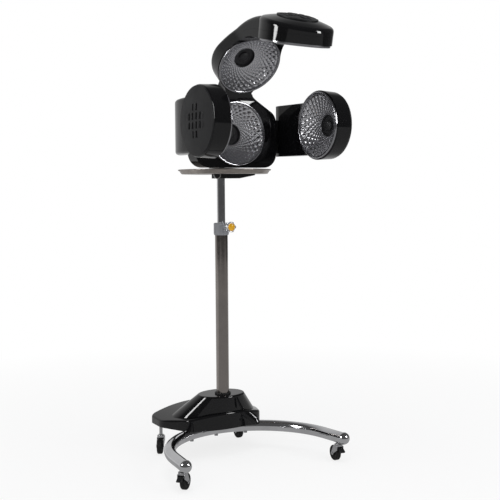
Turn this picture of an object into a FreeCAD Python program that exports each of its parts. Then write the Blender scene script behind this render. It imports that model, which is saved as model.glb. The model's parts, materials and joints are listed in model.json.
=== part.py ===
import FreeCAD, Part
import math
import os

os.makedirs("parts", exist_ok=True)

# Hair color processor: five round lamp pods on a bent spine, on a telescopic
# column with a tray, standing on a bent leg tube with four casters.
# Front is -Y, the object's left is +X, the floor is z = 0.
# The model is drawn about the column axis and moved by COLUMN_Y when it is saved.

# ---------------------------------------------------------------- driving dimensions
# fits
RUN_FIT = 0.06            # radial play of a shaft turning in its hole
SEAT_GAP = 0.3            # gap between a piece and what carries it
THIN_WALL = 3.0           # moulded wall
TIP_R = 1.0               # small flat at the middle of a dome

# casters
WHEEL_R = 25.0
WHEEL_W = 17.0
WHEEL_EDGE_R = 4.0
WHEEL_HUB_R = 9.0
WHEEL_HUB_W = 20.0
AXLE_R = 3.0
CASTER_TRAIL = 20.0
FORK_PLATE = 1.8
FORK_TOP_Z = 58.0
CROWN_R = 13.0
CROWN_H = 5.0
FORK_ROOF_Z = FORK_TOP_Z - CROWN_H - FORK_PLATE
FORK_HALF_L = 12.0        # roof half length
FORK_NOSE_DROP = 11.0     # cheek depth at the leading end
AXLE_EYE_R = 7.0
STEM_R = 5.5
STEM_FOOT_H = 1.2
STEM_BOSS_R = 11.5
STEM_BOSS_H = 18.0
BRAKE_LEN = 22.0
BRAKE_W = 15.0
BRAKE_T = 4.0
BRAKE_PIN_R = 2.5
BRAKE_EYE_R = 4.3
BRAKE_PIN_X = -9.0
BRAKE_PIN_Z = FORK_ROOF_Z - 6.4

# legs
LEG_R = 18.5
LEG_WALL = 2.0
LEG_Z = 81.0
LEG_BEND_R = 278.0
LEG_BEND_HALF_DEG = 83.0
LEG_BEND_CENTRE_Y = -230.0
LEG_END_LEN = 88.0
LEG_BALL_R = 20.0
FRONT_CASTER_BACK = 24.0  # caster stem behind the ball centre, along the tube
REAR_CASTER_X = 157.0
REAR_CASTER_Y = 150.0
LEG_BOLT_DEG = 21.7
LEG_BOLT_R = 4.0
LEG_BOLT_HEAD_R = 7.0
LEG_BOLT_HEAD_H = 5.0

# base cover and plate
PLATE_T = 5.0
COVER_FRONT_Y = -46.0
COVER_SHOULDER = (135.0, -16.0)
COVER_SIDE = (186.0, 92.0)
COVER_NOSE = (182.0, 184.0)
COVER_REAR_Y = 196.0
COVER_CROWN_Z = 156.0
COVER_CROWN_R = 540.0
COVER_EDGE_R = 7.0
CONE_FOOT_A = 130.0
CONE_FOOT_B = 90.0
CONE_FOOT_Y = 50.0
CONE_TOP_A = 80.0
CONE_TOP_B = 62.0
CONE_TOP_Y = 12.0
CONE_TOP_Z = 210.0
CONE_EDGE_R = 6.0
BALLAST_A = 92.0
BALLAST_B = 62.0
BALLAST_H = 38.0

# column
OUTER_R = 21.0
OUTER_WALL = 2.0
INNER_R = 13.0
INNER_WALL = 1.5
COLLAR_R = 25.0
COLLAR_BOTTOM_Z = 737.0
COLLAR_TOP_Z = COLLAR_BOTTOM_Z + 40.0
COLLAR_BOSS_R = 11.0
COLLAR_BOSS_LEN = 18.0
BUSH_LEN = 60.0
INNER_BOTTOM_Z = 470.0
SOCKET_R = 27.0
SOCKET_H = 55.0
GROMMET_R = 26.5
GROMMET_H = 5.0

# clamp knob
KNOB_Z = COLLAR_BOTTOM_Z + 28.0
KNOB_R = 17.5
KNOB_T = 15.0
KNOB_LOBES = 5
KNOB_LOBE_R = 6.0
KNOB_CAP_R = 13.0
KNOB_CAP_T = 4.0
KNOB_BACK_Y = -52.0
SCREW_R = 4.0
OUTER_TOP_Z = COLLAR_BOTTOM_Z + 20.0

# tray
TRAY_R = 151.0
TRAY_FLOOR_Z = 938.0
TRAY_SHEET = 1.5
TRAY_DEPTH = 13.0
TRAY_FLOOR_R = 140.0
TRAY_LIP_R = 2.0
TRAY_OFFSET = 25.0        # tray centre in front of the column
HUB_R = 30.0
HUB_H = 14.0
BRACKET_LEN = 112.0
BRACKET_W = 46.0
BRACKET_T = 6.0
HOOK_WIRE_R = 1.6
HOOK_W = 24.0
HOOK_DROP = 15.0

# lamp pods, shared
DISH_R = 96.0
DISH_DEPTH = 36.0
DISH_SHEET = 1.2
DISH_HOLE_R = 34.0
RING_R = 103.0
RING_T = 7.0
RING_ROUND = 3.4
LAMP_CUP_DEPTH = 8.0
LAMP_DISC_R = 16.0
POD_R = 107.0
VENT_FIELD_R = 54.0
VENT_W = 7.0
VENT_PITCH_X = 22.0
VENT_PITCH_Z = 26.0
VENT_LEN = 22.0

# head: lower pod upright, upper pod leaning, top pod over the client
LOWER_Y = -105.0
LOWER_Z = 1062.0
LOWER_HALF_W = 148.0
LOWER_BOTTOM_Z = 955.5
LOWER_CORNER_R = 46.0
SHOULDER_Z = 1123.4       # where the cheek's line meets the sloping shoulder
SHOULDER_SLOPE = 32.2
SHOULDER_R = 40.0
UPPER_Y = -186.0
UPPER_Z = 1270.0
UPPER_TILT = 40.0
UPPER_R = 105.0
TOP_Y = -437.0
TOP_Z = 1304.0
TOP_TILT = 103.0
TOP_FRONT_DEPTH = 42.0
TOP_REAR_DEPTH = 66.0
TOP_DOME_RISE = 19.0
SPINE_DEPTH = 63.0
WAIST_HALF_W = 48.0
WAIST_LOW_R = 28.0        # hollow between the waist and the shoulder
WAIST_HIGH_R = 24.0       # hollow between the waist and the upper pod
NECK_HALF_W = 78.0
NECK_FLARE = 18.0         # lean of the neck's sides down to the upper pod
NECK_FLARE_R = 60.0
WAIST_BEND = (18.0, 89.0)  # bend radius on the lamp side and on the back
NECK_BEND = (130.0, 278.0)
RECESS_H = 40.0           # higher than the bend stands over the upper ring
SEAM_DEPTH = 24.0
DEEP = 90.0               # behind every wall of the head
BACK_EDGE_R = 14.0
SHELL_SCREW_R = 2.0
SHELL_SCREW_LEN = 12.0
SHELL_HEAD_H = 2.4
SHELL_BOSS_R = 5.0
SHELL_SCREWS_LOWER = [(-118.0, -62.0), (118.0, -62.0), (-118.0, 38.0), (118.0, 38.0)]
SHELL_SCREWS_WAIST = [(-30.0, -110.0), (30.0, -110.0)]

# head mount behind the lower pod
MOUNT_HALF_W = 44.0
MOUNT_TOP_Z = 1046.0
MOUNT_REAR_Y = 30.0
MOUNT_CORNER_R = 16.0
MOUNT_EDGE_R = 9.0
MOUNT_SINK = 64.0         # column length inside the mount

# control panel at the back of the lower pod
PANEL_W = 150.0
PANEL_H = 46.0
PANEL_T = 3.0
PANEL_Z = 1092.0
PANEL_EDGE = 14.0         # panel wider and higher than the window behind it
DIAL_R = 17.0
DIAL_T = 15.0
DIAL_X = -45.0
SWITCH_W = 14.0
SWITCH_H = 22.0
SWITCH_X = (18.0, 50.0)
SWITCH_TILT = 8.0
GLAND_R = 8.0
GLAND_LEN = 16.0
GLAND_X = 70.0
GLAND_Z = 985.0

# side arms
ARM_RING_X = 185.0
ARM_Y = -288.0
ARM_Z = 1083.0
ARM_DEPTH = 52.0
ARM_DRAFT = 2.5
ARM_EDGE_R = 5.0
ARM_CAP_R = 101.5
ARM_CAP_RISE = 9.0
NECK_LOW_Z = 993.0
NECK_HIGH_Z = 1158.0
HINGE_X = 162.0
HINGE_Y = -66.0
HINGE_R = 12.5
HINGE_LOW_Z = 1004.0
HINGE_HIGH_Z = 1112.0
HINGE_LUG_H = 27.0
PIN_R = 4.0
PIN_HEAD_R = 7.0

# ---------------------------------------------------------------- helpers
X_AXIS = FreeCAD.Vector(1, 0, 0)
Y_AXIS = FreeCAD.Vector(0, 1, 0)
Z_AXIS = FreeCAD.Vector(0, 0, 1)


def vec(x, y, z):
    return FreeCAD.Vector(x, y, z)


def cylinder(radius, height, base, direction=Z_AXIS):
    return Part.makeCylinder(radius, height, base, direction)


def tube(outer, inner, height, base, direction=Z_AXIS):
    return cylinder(outer, height, base, direction).cut(cylinder(inner, height, base, direction))


def revolve(points):
    """Solid of revolution about local z; a point is (r, z), an arc is (mid, end) as a pair of pairs."""
    edges = []
    here = vec(points[0][0], 0, points[0][1])
    for item in points[1:] + [points[0]]:
        if isinstance(item[0], tuple):
            mid = vec(item[0][0], 0, item[0][1])
            end = vec(item[1][0], 0, item[1][1])
            edges.append(Part.Arc(here, mid, end).toShape())
        else:
            end = vec(item[0], 0, item[1])
            if end.distanceToPoint(here) > 1e-6:
                edges.append(Part.makeLine(here, end))
        here = end
    face = Part.Face(Part.Wire(edges))
    return face.revolve(vec(0, 0, 0), Z_AXIS, 360)


def corner_arc(r_big, z_big, radius, quadrant):
    """Middle and end points of a rounded edge, from a vertical wall to a flat back."""
    step = radius * (1 - math.sqrt(0.5))
    sign = 1 if quadrant == "up" else -1
    return ((r_big - step, z_big - sign * step), (r_big - radius, z_big))


def pod_frame(centre, facing):
    """Placement whose local +z looks along facing and whose local x stays level."""
    z_dir = vec(*facing).normalize()
    side = Z_AXIS.cross(z_dir)
    if side.Length < 1e-6:
        side = X_AXIS
    side.normalize()
    up = z_dir.cross(side)
    matrix = FreeCAD.Matrix(side.x, up.x, z_dir.x, centre[0],
                            side.y, up.y, z_dir.y, centre[1],
                            side.z, up.z, z_dir.z, centre[2],
                            0, 0, 0, 1)
    return FreeCAD.Placement(matrix)


def placed(shape, frame):
    copy = shape.copy()
    copy.Placement = frame.multiply(copy.Placement)
    return copy


def mirrored(shape):
    return shape.mirror(vec(0, 0, 0), X_AXIS)


def fuse_all(shapes):
    result = shapes[0]
    for shape in shapes[1:]:
        result = result.fuse(shape)
    return result.removeSplitter()


def largest(shape):
    """The main solid, without the slivers that a cut leaves."""
    return max(shape.Solids, key=lambda solid: solid.Volume)


def side_profile(points, half_width):
    """Prism along X from a closed outline of (y, z) points; ('arc', mid, end) makes an arc."""
    edges = []
    start = vec(-half_width, *points[0])
    here = start
    for item in points[1:]:
        if item[0] == "arc":
            end = vec(-half_width, *item[2])
            edges.append(Part.Arc(here, vec(-half_width, *item[1]), end).toShape())
        else:
            end = vec(-half_width, *item)
            edges.append(Part.makeLine(here, end))
        here = end
    edges.append(Part.makeLine(here, start))
    return Part.Face(Part.Wire(edges)).extrude(vec(2 * half_width, 0, 0))


# ---------------------------------------------------------------- leg geometry
def leg_arc_point(angle_deg):
    """Centre line of the bent leg tube; angle 0 is the rearmost middle."""
    angle = math.radians(angle_deg)
    return vec(LEG_BEND_R * math.sin(angle), LEG_BEND_CENTRE_Y + LEG_BEND_R * math.cos(angle), LEG_Z)


def leg_end_direction(side):
    angle = math.radians(LEG_BEND_HALF_DEG)
    return vec(side * math.cos(angle), -math.sin(angle), 0)


def leg_ball_centre(side):
    start = leg_arc_point(side * LEG_BEND_HALF_DEG)
    return start + leg_end_direction(side) * LEG_END_LEN


def front_caster_point(side):
    point = leg_ball_centre(side) - leg_end_direction(side) * FRONT_CASTER_BACK
    return vec(point.x, point.y, 0)


LEG_BOLT_SPOTS = [leg_arc_point(angle) for angle in (-LEG_BOLT_DEG, 0, LEG_BOLT_DEG)]
PLATE_BOTTOM_Z = LEG_Z + LEG_R + SEAT_GAP
PLATE_TOP_Z = PLATE_BOTTOM_Z + PLATE_T
COVER_BOTTOM_Z = PLATE_BOTTOM_Z + 1.0

# name: stem position, direction in which the wheel trails (degrees from +X)
CASTERS = {
    "front_right": (front_caster_point(-1), 40.0),
    "front_left": (front_caster_point(1), 84.0),
    "rear_right": (vec(-REAR_CASTER_X, REAR_CASTER_Y, 0), -125.0),
    "rear_left": (vec(REAR_CASTER_X, REAR_CASTER_Y, 0), 88.0),
}


def make_leg_tube():
    left = leg_arc_point(LEG_BEND_HALF_DEG)
    right = leg_arc_point(-LEG_BEND_HALF_DEG)
    path = Part.Wire([
        Part.makeLine(leg_ball_centre(-1), right),
        Part.Arc(right, leg_arc_point(0), left).toShape(),
        Part.makeLine(left, leg_ball_centre(1)),
    ])
    start = leg_ball_centre(-1)
    direction = leg_end_direction(-1)
    solids = []
    for radius in (LEG_R, LEG_R - LEG_WALL):
        section = Part.Wire([Part.makeCircle(radius, start, direction)])
        solids.append(path.makePipeShell([section], True, False))
    body = solids[0].cut(solids[1])
    for name in ("front_right", "front_left"):
        stem = CASTERS[name][0]
        body = body.cut(cylinder(STEM_R + RUN_FIT, LEG_R, vec(stem.x, stem.y, LEG_Z - LEG_R - 1)))
    for spot in LEG_BOLT_SPOTS:
        body = body.cut(cylinder(LEG_BOLT_R + RUN_FIT, 2 * LEG_R + 2, vec(spot.x, spot.y, LEG_Z - LEG_R - 1)))
    return body


def make_leg_end_balls():
    """Ball caps with a spigot that closes each tube end."""
    spigot_len = 12.0
    balls = []
    for side in (-1, 1):
        centre = leg_ball_centre(side)
        direction = leg_end_direction(side)
        ball = Part.makeSphere(LEG_BALL_R, centre)
        ball = ball.cut(cylinder(LEG_BALL_R + 1, LEG_BALL_R + 1, centre, direction * -1))
        spigot = cylinder(LEG_R - LEG_WALL - RUN_FIT, spigot_len, centre, direction * -1)
        balls.append(ball.fuse(spigot))
    return Part.makeCompound(balls)


def make_leg_bolts():
    bolts = []
    for spot in LEG_BOLT_SPOTS:
        low = LEG_Z - LEG_R
        head = Part.makePolygon([
            vec(spot.x + LEG_BOLT_HEAD_R * math.cos(math.radians(60 * i)),
                spot.y + LEG_BOLT_HEAD_R * math.sin(math.radians(60 * i)), low - LEG_BOLT_HEAD_H)
            for i in range(7)])
        head = Part.Face(head).extrude(vec(0, 0, LEG_BOLT_HEAD_H))
        shank = cylinder(LEG_BOLT_R, PLATE_TOP_Z + 6 - low, vec(spot.x, spot.y, low))
        bolts.append(head.fuse(shank))
    return Part.makeCompound(bolts)


# ---------------------------------------------------------------- base cover
def cover_plan(inset, z):
    """Closed outline of the cover's skirt: curved front and back, straight flanks."""
    front = COVER_FRONT_Y + inset
    rear = COVER_REAR_Y - inset
    shoulder = (COVER_SHOULDER[0] - inset, COVER_SHOULDER[1] + inset)
    side = (COVER_SIDE[0] - inset, COVER_SIDE[1])
    nose = (COVER_NOSE[0] - inset, COVER_NOSE[1] - inset)
    edges = [
        Part.Arc(vec(-shoulder[0], shoulder[1], z), vec(0, front, z), vec(shoulder[0], shoulder[1], z)).toShape(),
        Part.makeLine(vec(shoulder[0], shoulder[1], z), vec(side[0], side[1], z)),
        Part.makeLine(vec(side[0], side[1], z), vec(nose[0], nose[1], z)),
        Part.Arc(vec(nose[0], nose[1], z), vec(0, rear, z), vec(-nose[0], nose[1], z)).toShape(),
        Part.makeLine(vec(-nose[0], nose[1], z), vec(-side[0], side[1], z)),
        Part.makeLine(vec(-side[0], side[1], z), vec(-shoulder[0], shoulder[1], z)),
    ]
    return Part.Face(Part.Wire(edges))


def upright_edges(solid, x_range):
    """Vertical edges whose |x| lies in the given range."""
    found = []
    for edge in solid.Edges:
        ends = [v.Point for v in edge.Vertexes]
        if len(ends) == 2 and abs(ends[0].x - ends[1].x) < 1e-3 and abs(ends[0].y - ends[1].y) < 1e-3:
            if x_range[0] <= abs(ends[0].x) <= x_range[1]:
                found.append(edge)
    return found


def skirt(inset, low, high):
    solid = cover_plan(inset, low).extrude(vec(0, 0, high - low))
    split = (COVER_SHOULDER[0] + COVER_NOSE[0]) / 2
    solid = solid.makeFillet(52.0 - inset, upright_edges(solid, (0, split)))
    far = (split, float("inf"))
    middle_y = (COVER_SIDE[1] + COVER_NOSE[1]) / 2
    side_edges = [e for e in upright_edges(solid, far) if e.Vertexes[0].Point.y < middle_y]
    solid = solid.makeFillet(70.0 - inset, side_edges)
    nose_edges = [e for e in upright_edges(solid, far) if e.Vertexes[0].Point.y > middle_y]
    return solid.makeFillet(28.0 - inset, nose_edges)


def crown_cylinder(inset):
    radius = COVER_CROWN_R - inset
    length = 600.0
    axis_z = COVER_CROWN_Z - COVER_CROWN_R
    drum = cylinder(radius, length, vec(0, -length / 2, axis_z), Y_AXIS)
    drum.rotate(vec(0, 0, axis_z), Y_AXIS, 180)
    return drum


def oval(a, b, y, z):
    ellipse = Part.Ellipse(vec(0, y, z), a, b)
    return Part.Wire([ellipse.toShape()])


def cone(inset):
    foot_z = COVER_CROWN_Z - 26.0
    slope = (CONE_FOOT_A - CONE_TOP_A) / (CONE_TOP_Z - COVER_CROWN_Z)
    spread = slope * (COVER_CROWN_Z - foot_z)
    slope_y = (CONE_FOOT_B - CONE_TOP_B) / (CONE_TOP_Z - COVER_CROWN_Z)
    spread_y = slope_y * (COVER_CROWN_Z - foot_z)
    drift = (CONE_FOOT_Y - CONE_TOP_Y) / (CONE_TOP_Z - COVER_CROWN_Z) * (COVER_CROWN_Z - foot_z)
    wires = [
        oval(CONE_FOOT_A + spread - inset, CONE_FOOT_B + spread_y - inset, CONE_FOOT_Y + drift, foot_z),
        oval(CONE_TOP_A - inset, CONE_TOP_B - inset, CONE_TOP_Y, CONE_TOP_Z - inset),
    ]
    solid = Part.makeLoft(wires, True, True)
    top_edges = [e for e in solid.Edges if abs(e.BoundBox.ZMin - e.BoundBox.ZMax) < 1e-3
                 and e.BoundBox.ZMin > COVER_CROWN_Z]
    return solid.makeFillet(CONE_EDGE_R - inset / 2, top_edges)


def make_base_cover():
    outer = skirt(0, COVER_BOTTOM_Z, COVER_CROWN_Z + 5).common(crown_cylinder(0))
    crown = [f for f in outer.Faces if abs(getattr(f.Surface, "Radius", 0) - COVER_CROWN_R) < 1e-3]
    rim = crown[0].Edges
    outer = outer.makeFillet(COVER_EDGE_R, rim)
    outer = outer.fuse(cone(0)).removeSplitter()
    inner = skirt(THIN_WALL, COVER_BOTTOM_Z - 1, COVER_CROWN_Z + 5).common(crown_cylinder(THIN_WALL))
    inner = inner.fuse(cone(THIN_WALL))
    cover = outer.cut(inner)
    return cover.cut(cylinder(OUTER_R + 3.0, 60, vec(0, 0, CONE_TOP_Z - 30)))


def make_base_plate():
    plate = skirt(THIN_WALL + SEAT_GAP, PLATE_BOTTOM_Z, PLATE_TOP_Z)
    plate = plate.cut(cylinder(OUTER_R + RUN_FIT, PLATE_T + 2, vec(0, 0, PLATE_BOTTOM_Z - 1)))
    for name in ("rear_right", "rear_left"):
        stem = CASTERS[name][0]
        boss = cylinder(STEM_BOSS_R, PLATE_T + STEM_BOSS_H, vec(stem.x, stem.y, PLATE_BOTTOM_Z))
        plate = plate.fuse(boss)
        plate = plate.cut(cylinder(STEM_R + RUN_FIT, 2 * STEM_BOSS_H, vec(stem.x, stem.y, PLATE_BOTTOM_Z - 5)))
    for spot in LEG_BOLT_SPOTS:
        plate = plate.cut(cylinder(LEG_BOLT_R + RUN_FIT, PLATE_T + 2, vec(spot.x, spot.y, PLATE_BOTTOM_Z - 1)))
    return plate.removeSplitter()


def make_column_socket():
    """Flanged tube bolted on the base plate; the outer column stands in it."""
    flange = cylinder(SOCKET_R + 16, 6, vec(0, 0, PLATE_TOP_Z))
    sleeve = cylinder(SOCKET_R, SOCKET_H, vec(0, 0, PLATE_TOP_Z))
    body = flange.fuse(sleeve)
    body = body.cut(cylinder(OUTER_R + RUN_FIT, SOCKET_H + 2, vec(0, 0, PLATE_TOP_Z - 1)))
    for spot in LEG_BOLT_SPOTS:
        body = body.cut(cylinder(LEG_BOLT_R + 3, 30, vec(spot.x, spot.y, PLATE_TOP_Z - 1)))
    return body.removeSplitter()


def make_ballast():
    low = PLATE_TOP_Z
    centre_y = CONE_FOOT_Y + 35.0
    block = Part.Face(oval(BALLAST_A, BALLAST_B, centre_y, low)).extrude(vec(0, 0, BALLAST_H))
    block = block.cut(cylinder(SOCKET_R + 17, BALLAST_H + 2, vec(0, 0, low - 1)))
    for spot in LEG_BOLT_SPOTS:
        block = block.cut(cylinder(LEG_BOLT_R + 6, 16, vec(spot.x, spot.y, low - 1)))
    return block


# ---------------------------------------------------------------- column
def make_outer_column():
    low = PLATE_BOTTOM_Z
    return tube(OUTER_R, OUTER_R - OUTER_WALL, OUTER_TOP_Z - low, vec(0, 0, low))


def make_grommet():
    low = CONE_TOP_Z + SEAT_GAP - 6
    lip = tube(GROMMET_R, OUTER_R + RUN_FIT, GROMMET_H, vec(0, 0, CONE_TOP_Z + 0.1))
    sleeve = tube(OUTER_R + 2.7, OUTER_R + RUN_FIT, 7, vec(0, 0, low))
    lip = lip.makeFillet(1.8, [e for e in lip.Edges if e.BoundBox.ZMin > CONE_TOP_Z + 4 and e.Length > 150])
    return lip.fuse(sleeve).removeSplitter()


def make_clamp_collar():
    """Die-cast collar with a split ear at the front for the clamp screw."""
    taper = 6.0
    body = revolve([
        (OUTER_R + RUN_FIT, COLLAR_BOTTOM_Z), (OUTER_R + 2.2, COLLAR_BOTTOM_Z),
        (COLLAR_R, COLLAR_BOTTOM_Z + taper), (COLLAR_R, COLLAR_TOP_Z - 3),
        corner_arc(COLLAR_R, COLLAR_TOP_Z, 3.0, "up"),
        (INNER_R + RUN_FIT, COLLAR_TOP_Z), (INNER_R + RUN_FIT, OUTER_TOP_Z),
        (OUTER_R + RUN_FIT, OUTER_TOP_Z),
    ])
    boss = cylinder(COLLAR_BOSS_R, COLLAR_R + COLLAR_BOSS_LEN - OUTER_R, vec(0, -OUTER_R, KNOB_Z), Y_AXIS * -1)
    boss = boss.cut(cylinder(OUTER_R + RUN_FIT, OUTER_TOP_Z - KNOB_Z + 60, vec(0, 0, KNOB_Z - 60)))
    body = body.fuse(boss)
    body = body.cut(cylinder(SCREW_R + RUN_FIT, 60, vec(0, -INNER_R, KNOB_Z), Y_AXIS * -1))
    return body.removeSplitter()


def make_collar_bush():
    """Plastic guide bush pressed into the top of the outer column."""
    return tube(OUTER_R - OUTER_WALL, INNER_R + RUN_FIT, BUSH_LEN, vec(0, 0, OUTER_TOP_Z - BUSH_LEN))


def make_inner_column():
    high = LOWER_BOTTOM_Z + MOUNT_SINK
    return tube(INNER_R, INNER_R - INNER_WALL, high - INNER_BOTTOM_Z, vec(0, 0, INNER_BOTTOM_Z))


# ---------------------------------------------------------------- clamp knob
def make_clamp_knob():
    """Star knob: a hub with round lobes, opening to the front for its cap."""
    base = vec(0, KNOB_BACK_Y, KNOB_Z)
    forward = Y_AXIS * -1
    body = cylinder(KNOB_R - 3.5, KNOB_T, base, forward)
    for i in range(KNOB_LOBES):
        angle = 2 * math.pi * i / KNOB_LOBES
        reach = KNOB_R - KNOB_LOBE_R
        centre = base + vec(reach * math.cos(angle), 0, reach * math.sin(angle))
        body = body.fuse(cylinder(KNOB_LOBE_R, KNOB_T, centre, forward))
    body = body.fuse(cylinder(8.0, 7.0, base - forward * 7.0, forward))
    body = body.cut(cylinder(SCREW_R, 40, base - forward * 10, forward))
    recess = base + forward * (KNOB_T - 2.0)
    return body.cut(cylinder(KNOB_CAP_R - 0.5, 5, recess, forward)).removeSplitter()


def make_knob_cap():
    cap = revolve([
        (0, 0), (KNOB_CAP_R - 0.6, 0), (KNOB_CAP_R - 0.6, KNOB_CAP_T - 1.5),
        ((KNOB_CAP_R * 0.6, KNOB_CAP_T + 0.9), (TIP_R, KNOB_CAP_T + 1.8)), (0, KNOB_CAP_T + 1.8),
    ])
    return placed(cap, pod_frame((0, KNOB_BACK_Y - KNOB_T + 2.0, KNOB_Z), (0, -1, 0)))


def make_clamp_screw():
    tip = -INNER_R - SEAT_GAP
    return cylinder(SCREW_R, tip - KNOB_BACK_Y + 12, vec(0, tip, KNOB_Z), Y_AXIS * -1)


# ---------------------------------------------------------------- tray
def make_tray_dish():
    high = TRAY_FLOOR_Z + TRAY_DEPTH
    dish = revolve([
        (0, TRAY_FLOOR_Z - TRAY_SHEET), (TRAY_FLOOR_R, TRAY_FLOOR_Z - TRAY_SHEET),
        (TRAY_R - 2 * TRAY_LIP_R, high - 2 * TRAY_LIP_R),
        ((TRAY_R - TRAY_LIP_R * 0.3, high - TRAY_LIP_R * 1.7), (TRAY_R, high - TRAY_LIP_R)),
        ((TRAY_R - TRAY_LIP_R, high), (TRAY_R - 2 * TRAY_LIP_R, high - TRAY_LIP_R)),
        (TRAY_FLOOR_R - 0.8, TRAY_FLOOR_Z), (0, TRAY_FLOOR_Z),
    ])
    dish.translate(vec(0, -TRAY_OFFSET, 0))
    return dish.cut(cylinder(INNER_R + RUN_FIT, 2 * TRAY_DEPTH, vec(0, 0, TRAY_FLOOR_Z - TRAY_DEPTH)))


def make_tray_bracket():
    """Clamp hub with a tapering arm that carries the tray from below."""
    high = TRAY_FLOOR_Z - TRAY_SHEET
    hub = cylinder(HUB_R, HUB_H, vec(0, 0, high - HUB_H))
    half = BRACKET_W / 2
    arm = Part.makePolygon([
        vec(0, half, high), vec(0, half, high - HUB_H), vec(BRACKET_LEN * 0.55, half, high - HUB_H),
        vec(BRACKET_LEN, half, high - 4), vec(BRACKET_LEN, half, high), vec(0, half, high)])
    arm = Part.Face(arm).extrude(vec(0, -BRACKET_W, 0))
    corners = [e for e in arm.Edges if e.BoundBox.XMin > BRACKET_LEN - 1 and e.BoundBox.YLength < 1e-3]
    arm = arm.makeFillet(half - 4.0, corners)
    turn = math.degrees(math.atan2(-0.5, 0.87))
    arm.rotate(vec(0, 0, 0), Z_AXIS, turn)
    body = hub.fuse(arm).cut(cylinder(INNER_R + RUN_FIT, 60, vec(0, 0, high - 30)))
    screw_z = high - HUB_H / 2
    body = body.cut(cylinder(3.0 + RUN_FIT, HUB_R + 5, vec(0, 0, screw_z), Y_AXIS))
    return body.removeSplitter()


def make_tray_screw():
    """Thumb screw at the back of the hub."""
    screw_z = TRAY_FLOOR_Z - TRAY_SHEET - HUB_H / 2
    shank = cylinder(3.0, HUB_R + 6 - INNER_R, vec(0, INNER_R + SEAT_GAP, screw_z), Y_AXIS)
    head = cylinder(7.0, 9.0, vec(0, HUB_R + 4, screw_z), Y_AXIS)
    return shank.fuse(head).removeSplitter()


def make_tray_hook():
    """Wire loop under the tray, made of two legs and a round bend."""
    high = TRAY_FLOOR_Z - TRAY_SHEET - 0.1
    centre = vec(-48.0, -62.0, high)
    half = HOOK_W / 2
    path = Part.Wire([
        Part.makeLine(centre + vec(-half, 0, 0), centre + vec(-half, 0, half - HOOK_DROP)),
        Part.Arc(centre + vec(-half, 0, half - HOOK_DROP), centre + vec(0, 0, -HOOK_DROP),
                 centre + vec(half, 0, half - HOOK_DROP)).toShape(),
        Part.makeLine(centre + vec(half, 0, half - HOOK_DROP), centre + vec(half, 0, 0)),
    ])
    section = Part.Wire([Part.makeCircle(HOOK_WIRE_R, centre + vec(-half, 0, 0), Z_AXIS)])
    return path.makePipeShell([section], True, False)


# ---------------------------------------------------------------- lamp pod pieces, in the pod's own frame
# local +z faces the client, the trim ring's back sits on z = 0
def dish_profile(radius):
    """Depth of the reflector bowl below its rim at a radius."""
    share = (radius - DISH_HOLE_R) / (DISH_R - DISH_HOLE_R)
    return DISH_DEPTH * (1 - share ** 1.8)


def reflector():
    """Spun sheet bowl with a flat rim and a hole for the lamp."""
    rim = RING_R - 2.5
    mid_r = (DISH_R + DISH_HOLE_R) / 2
    sheet = DISH_SHEET
    return revolve([
        (rim, -sheet), (rim, 0), (DISH_R, 0),
        ((mid_r, -dish_profile(mid_r)), (DISH_HOLE_R, -DISH_DEPTH)),
        (DISH_HOLE_R, -DISH_DEPTH - sheet),
        ((mid_r, -dish_profile(mid_r) - sheet), (DISH_R + 0.4, -sheet)),
    ])


def trim_ring():
    """Rounded ring that holds the reflector's rim on the pod."""
    inner = DISH_R - 1.0
    half = RING_ROUND * (1 - math.sqrt(0.5))
    return revolve([
        (RING_R, 0.05), (RING_R, RING_T - RING_ROUND),
        ((RING_R - half, RING_T - half), (RING_R - RING_ROUND, RING_T)),
        (inner + RING_ROUND, RING_T), ((inner + half, RING_T - half), (inner, RING_T - RING_ROUND)),
        (inner, 0.05),
    ])


def lamp():
    """Ceramic holder cup behind the reflector's hole with the emitter disc in its middle."""
    top = -DISH_DEPTH - DISH_SHEET - 0.05
    floor = top - LAMP_CUP_DEPTH
    wall = DISH_HOLE_R + 2.5
    return revolve([
        (0, floor - 3), (wall, floor - 3), (wall, top), (DISH_HOLE_R - 1.5, top),
        (DISH_HOLE_R - 3.0, floor), (LAMP_DISC_R, floor), (LAMP_DISC_R, top - 3.0),
        ((LAMP_DISC_R * 0.6, top + 1.2), (TIP_R, top + 2.6)), (0, top + 2.6),
    ])


def pod_cavity(extra_depth):
    """Space behind the trim ring for the reflector and the lamp."""
    lamp_back = DISH_DEPTH + DISH_SHEET + LAMP_CUP_DEPTH + 3.4
    return revolve([
        (0, 1), (RING_R - 2.5 + 0.3, 1), (RING_R - 2.5 + 0.3, -DISH_SHEET - 0.05),
        (DISH_R + 1.5, -DISH_SHEET - 0.05), (DISH_R - 14, -DISH_DEPTH * 0.7 - 1.0),
        (DISH_HOLE_R + 2.8, -DISH_DEPTH - 1.4), (DISH_HOLE_R + 2.8, -lamp_back - extra_depth),
        (0, -lamp_back - extra_depth),
    ])


def vent_slots(depth):
    """Round field of upright slots in straight rows, as cutters across z from -depth to depth."""
    cutters = []
    length = VENT_LEN - VENT_W
    columns = int(VENT_FIELD_R // VENT_PITCH_X)
    rows = int(VENT_FIELD_R // VENT_PITCH_Z)
    for i in range(-columns, columns):
        x = (i + 0.5) * VENT_PITCH_X
        for j in range(-rows, rows):
            y = (j + 0.5) * VENT_PITCH_Z
            if math.hypot(x, abs(y) + VENT_LEN / 2) > VENT_FIELD_R:
                continue
            slot = Part.makeBox(VENT_W, length, 2 * depth, vec(x - VENT_W / 2, y - length / 2, -depth))
            for end in (-1, 1):
                slot = slot.fuse(cylinder(VENT_W / 2, 2 * depth, vec(x, y + end * length / 2, -depth)))
            cutters.append(slot.removeSplitter())
    return Part.makeCompound(cutters)


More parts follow.
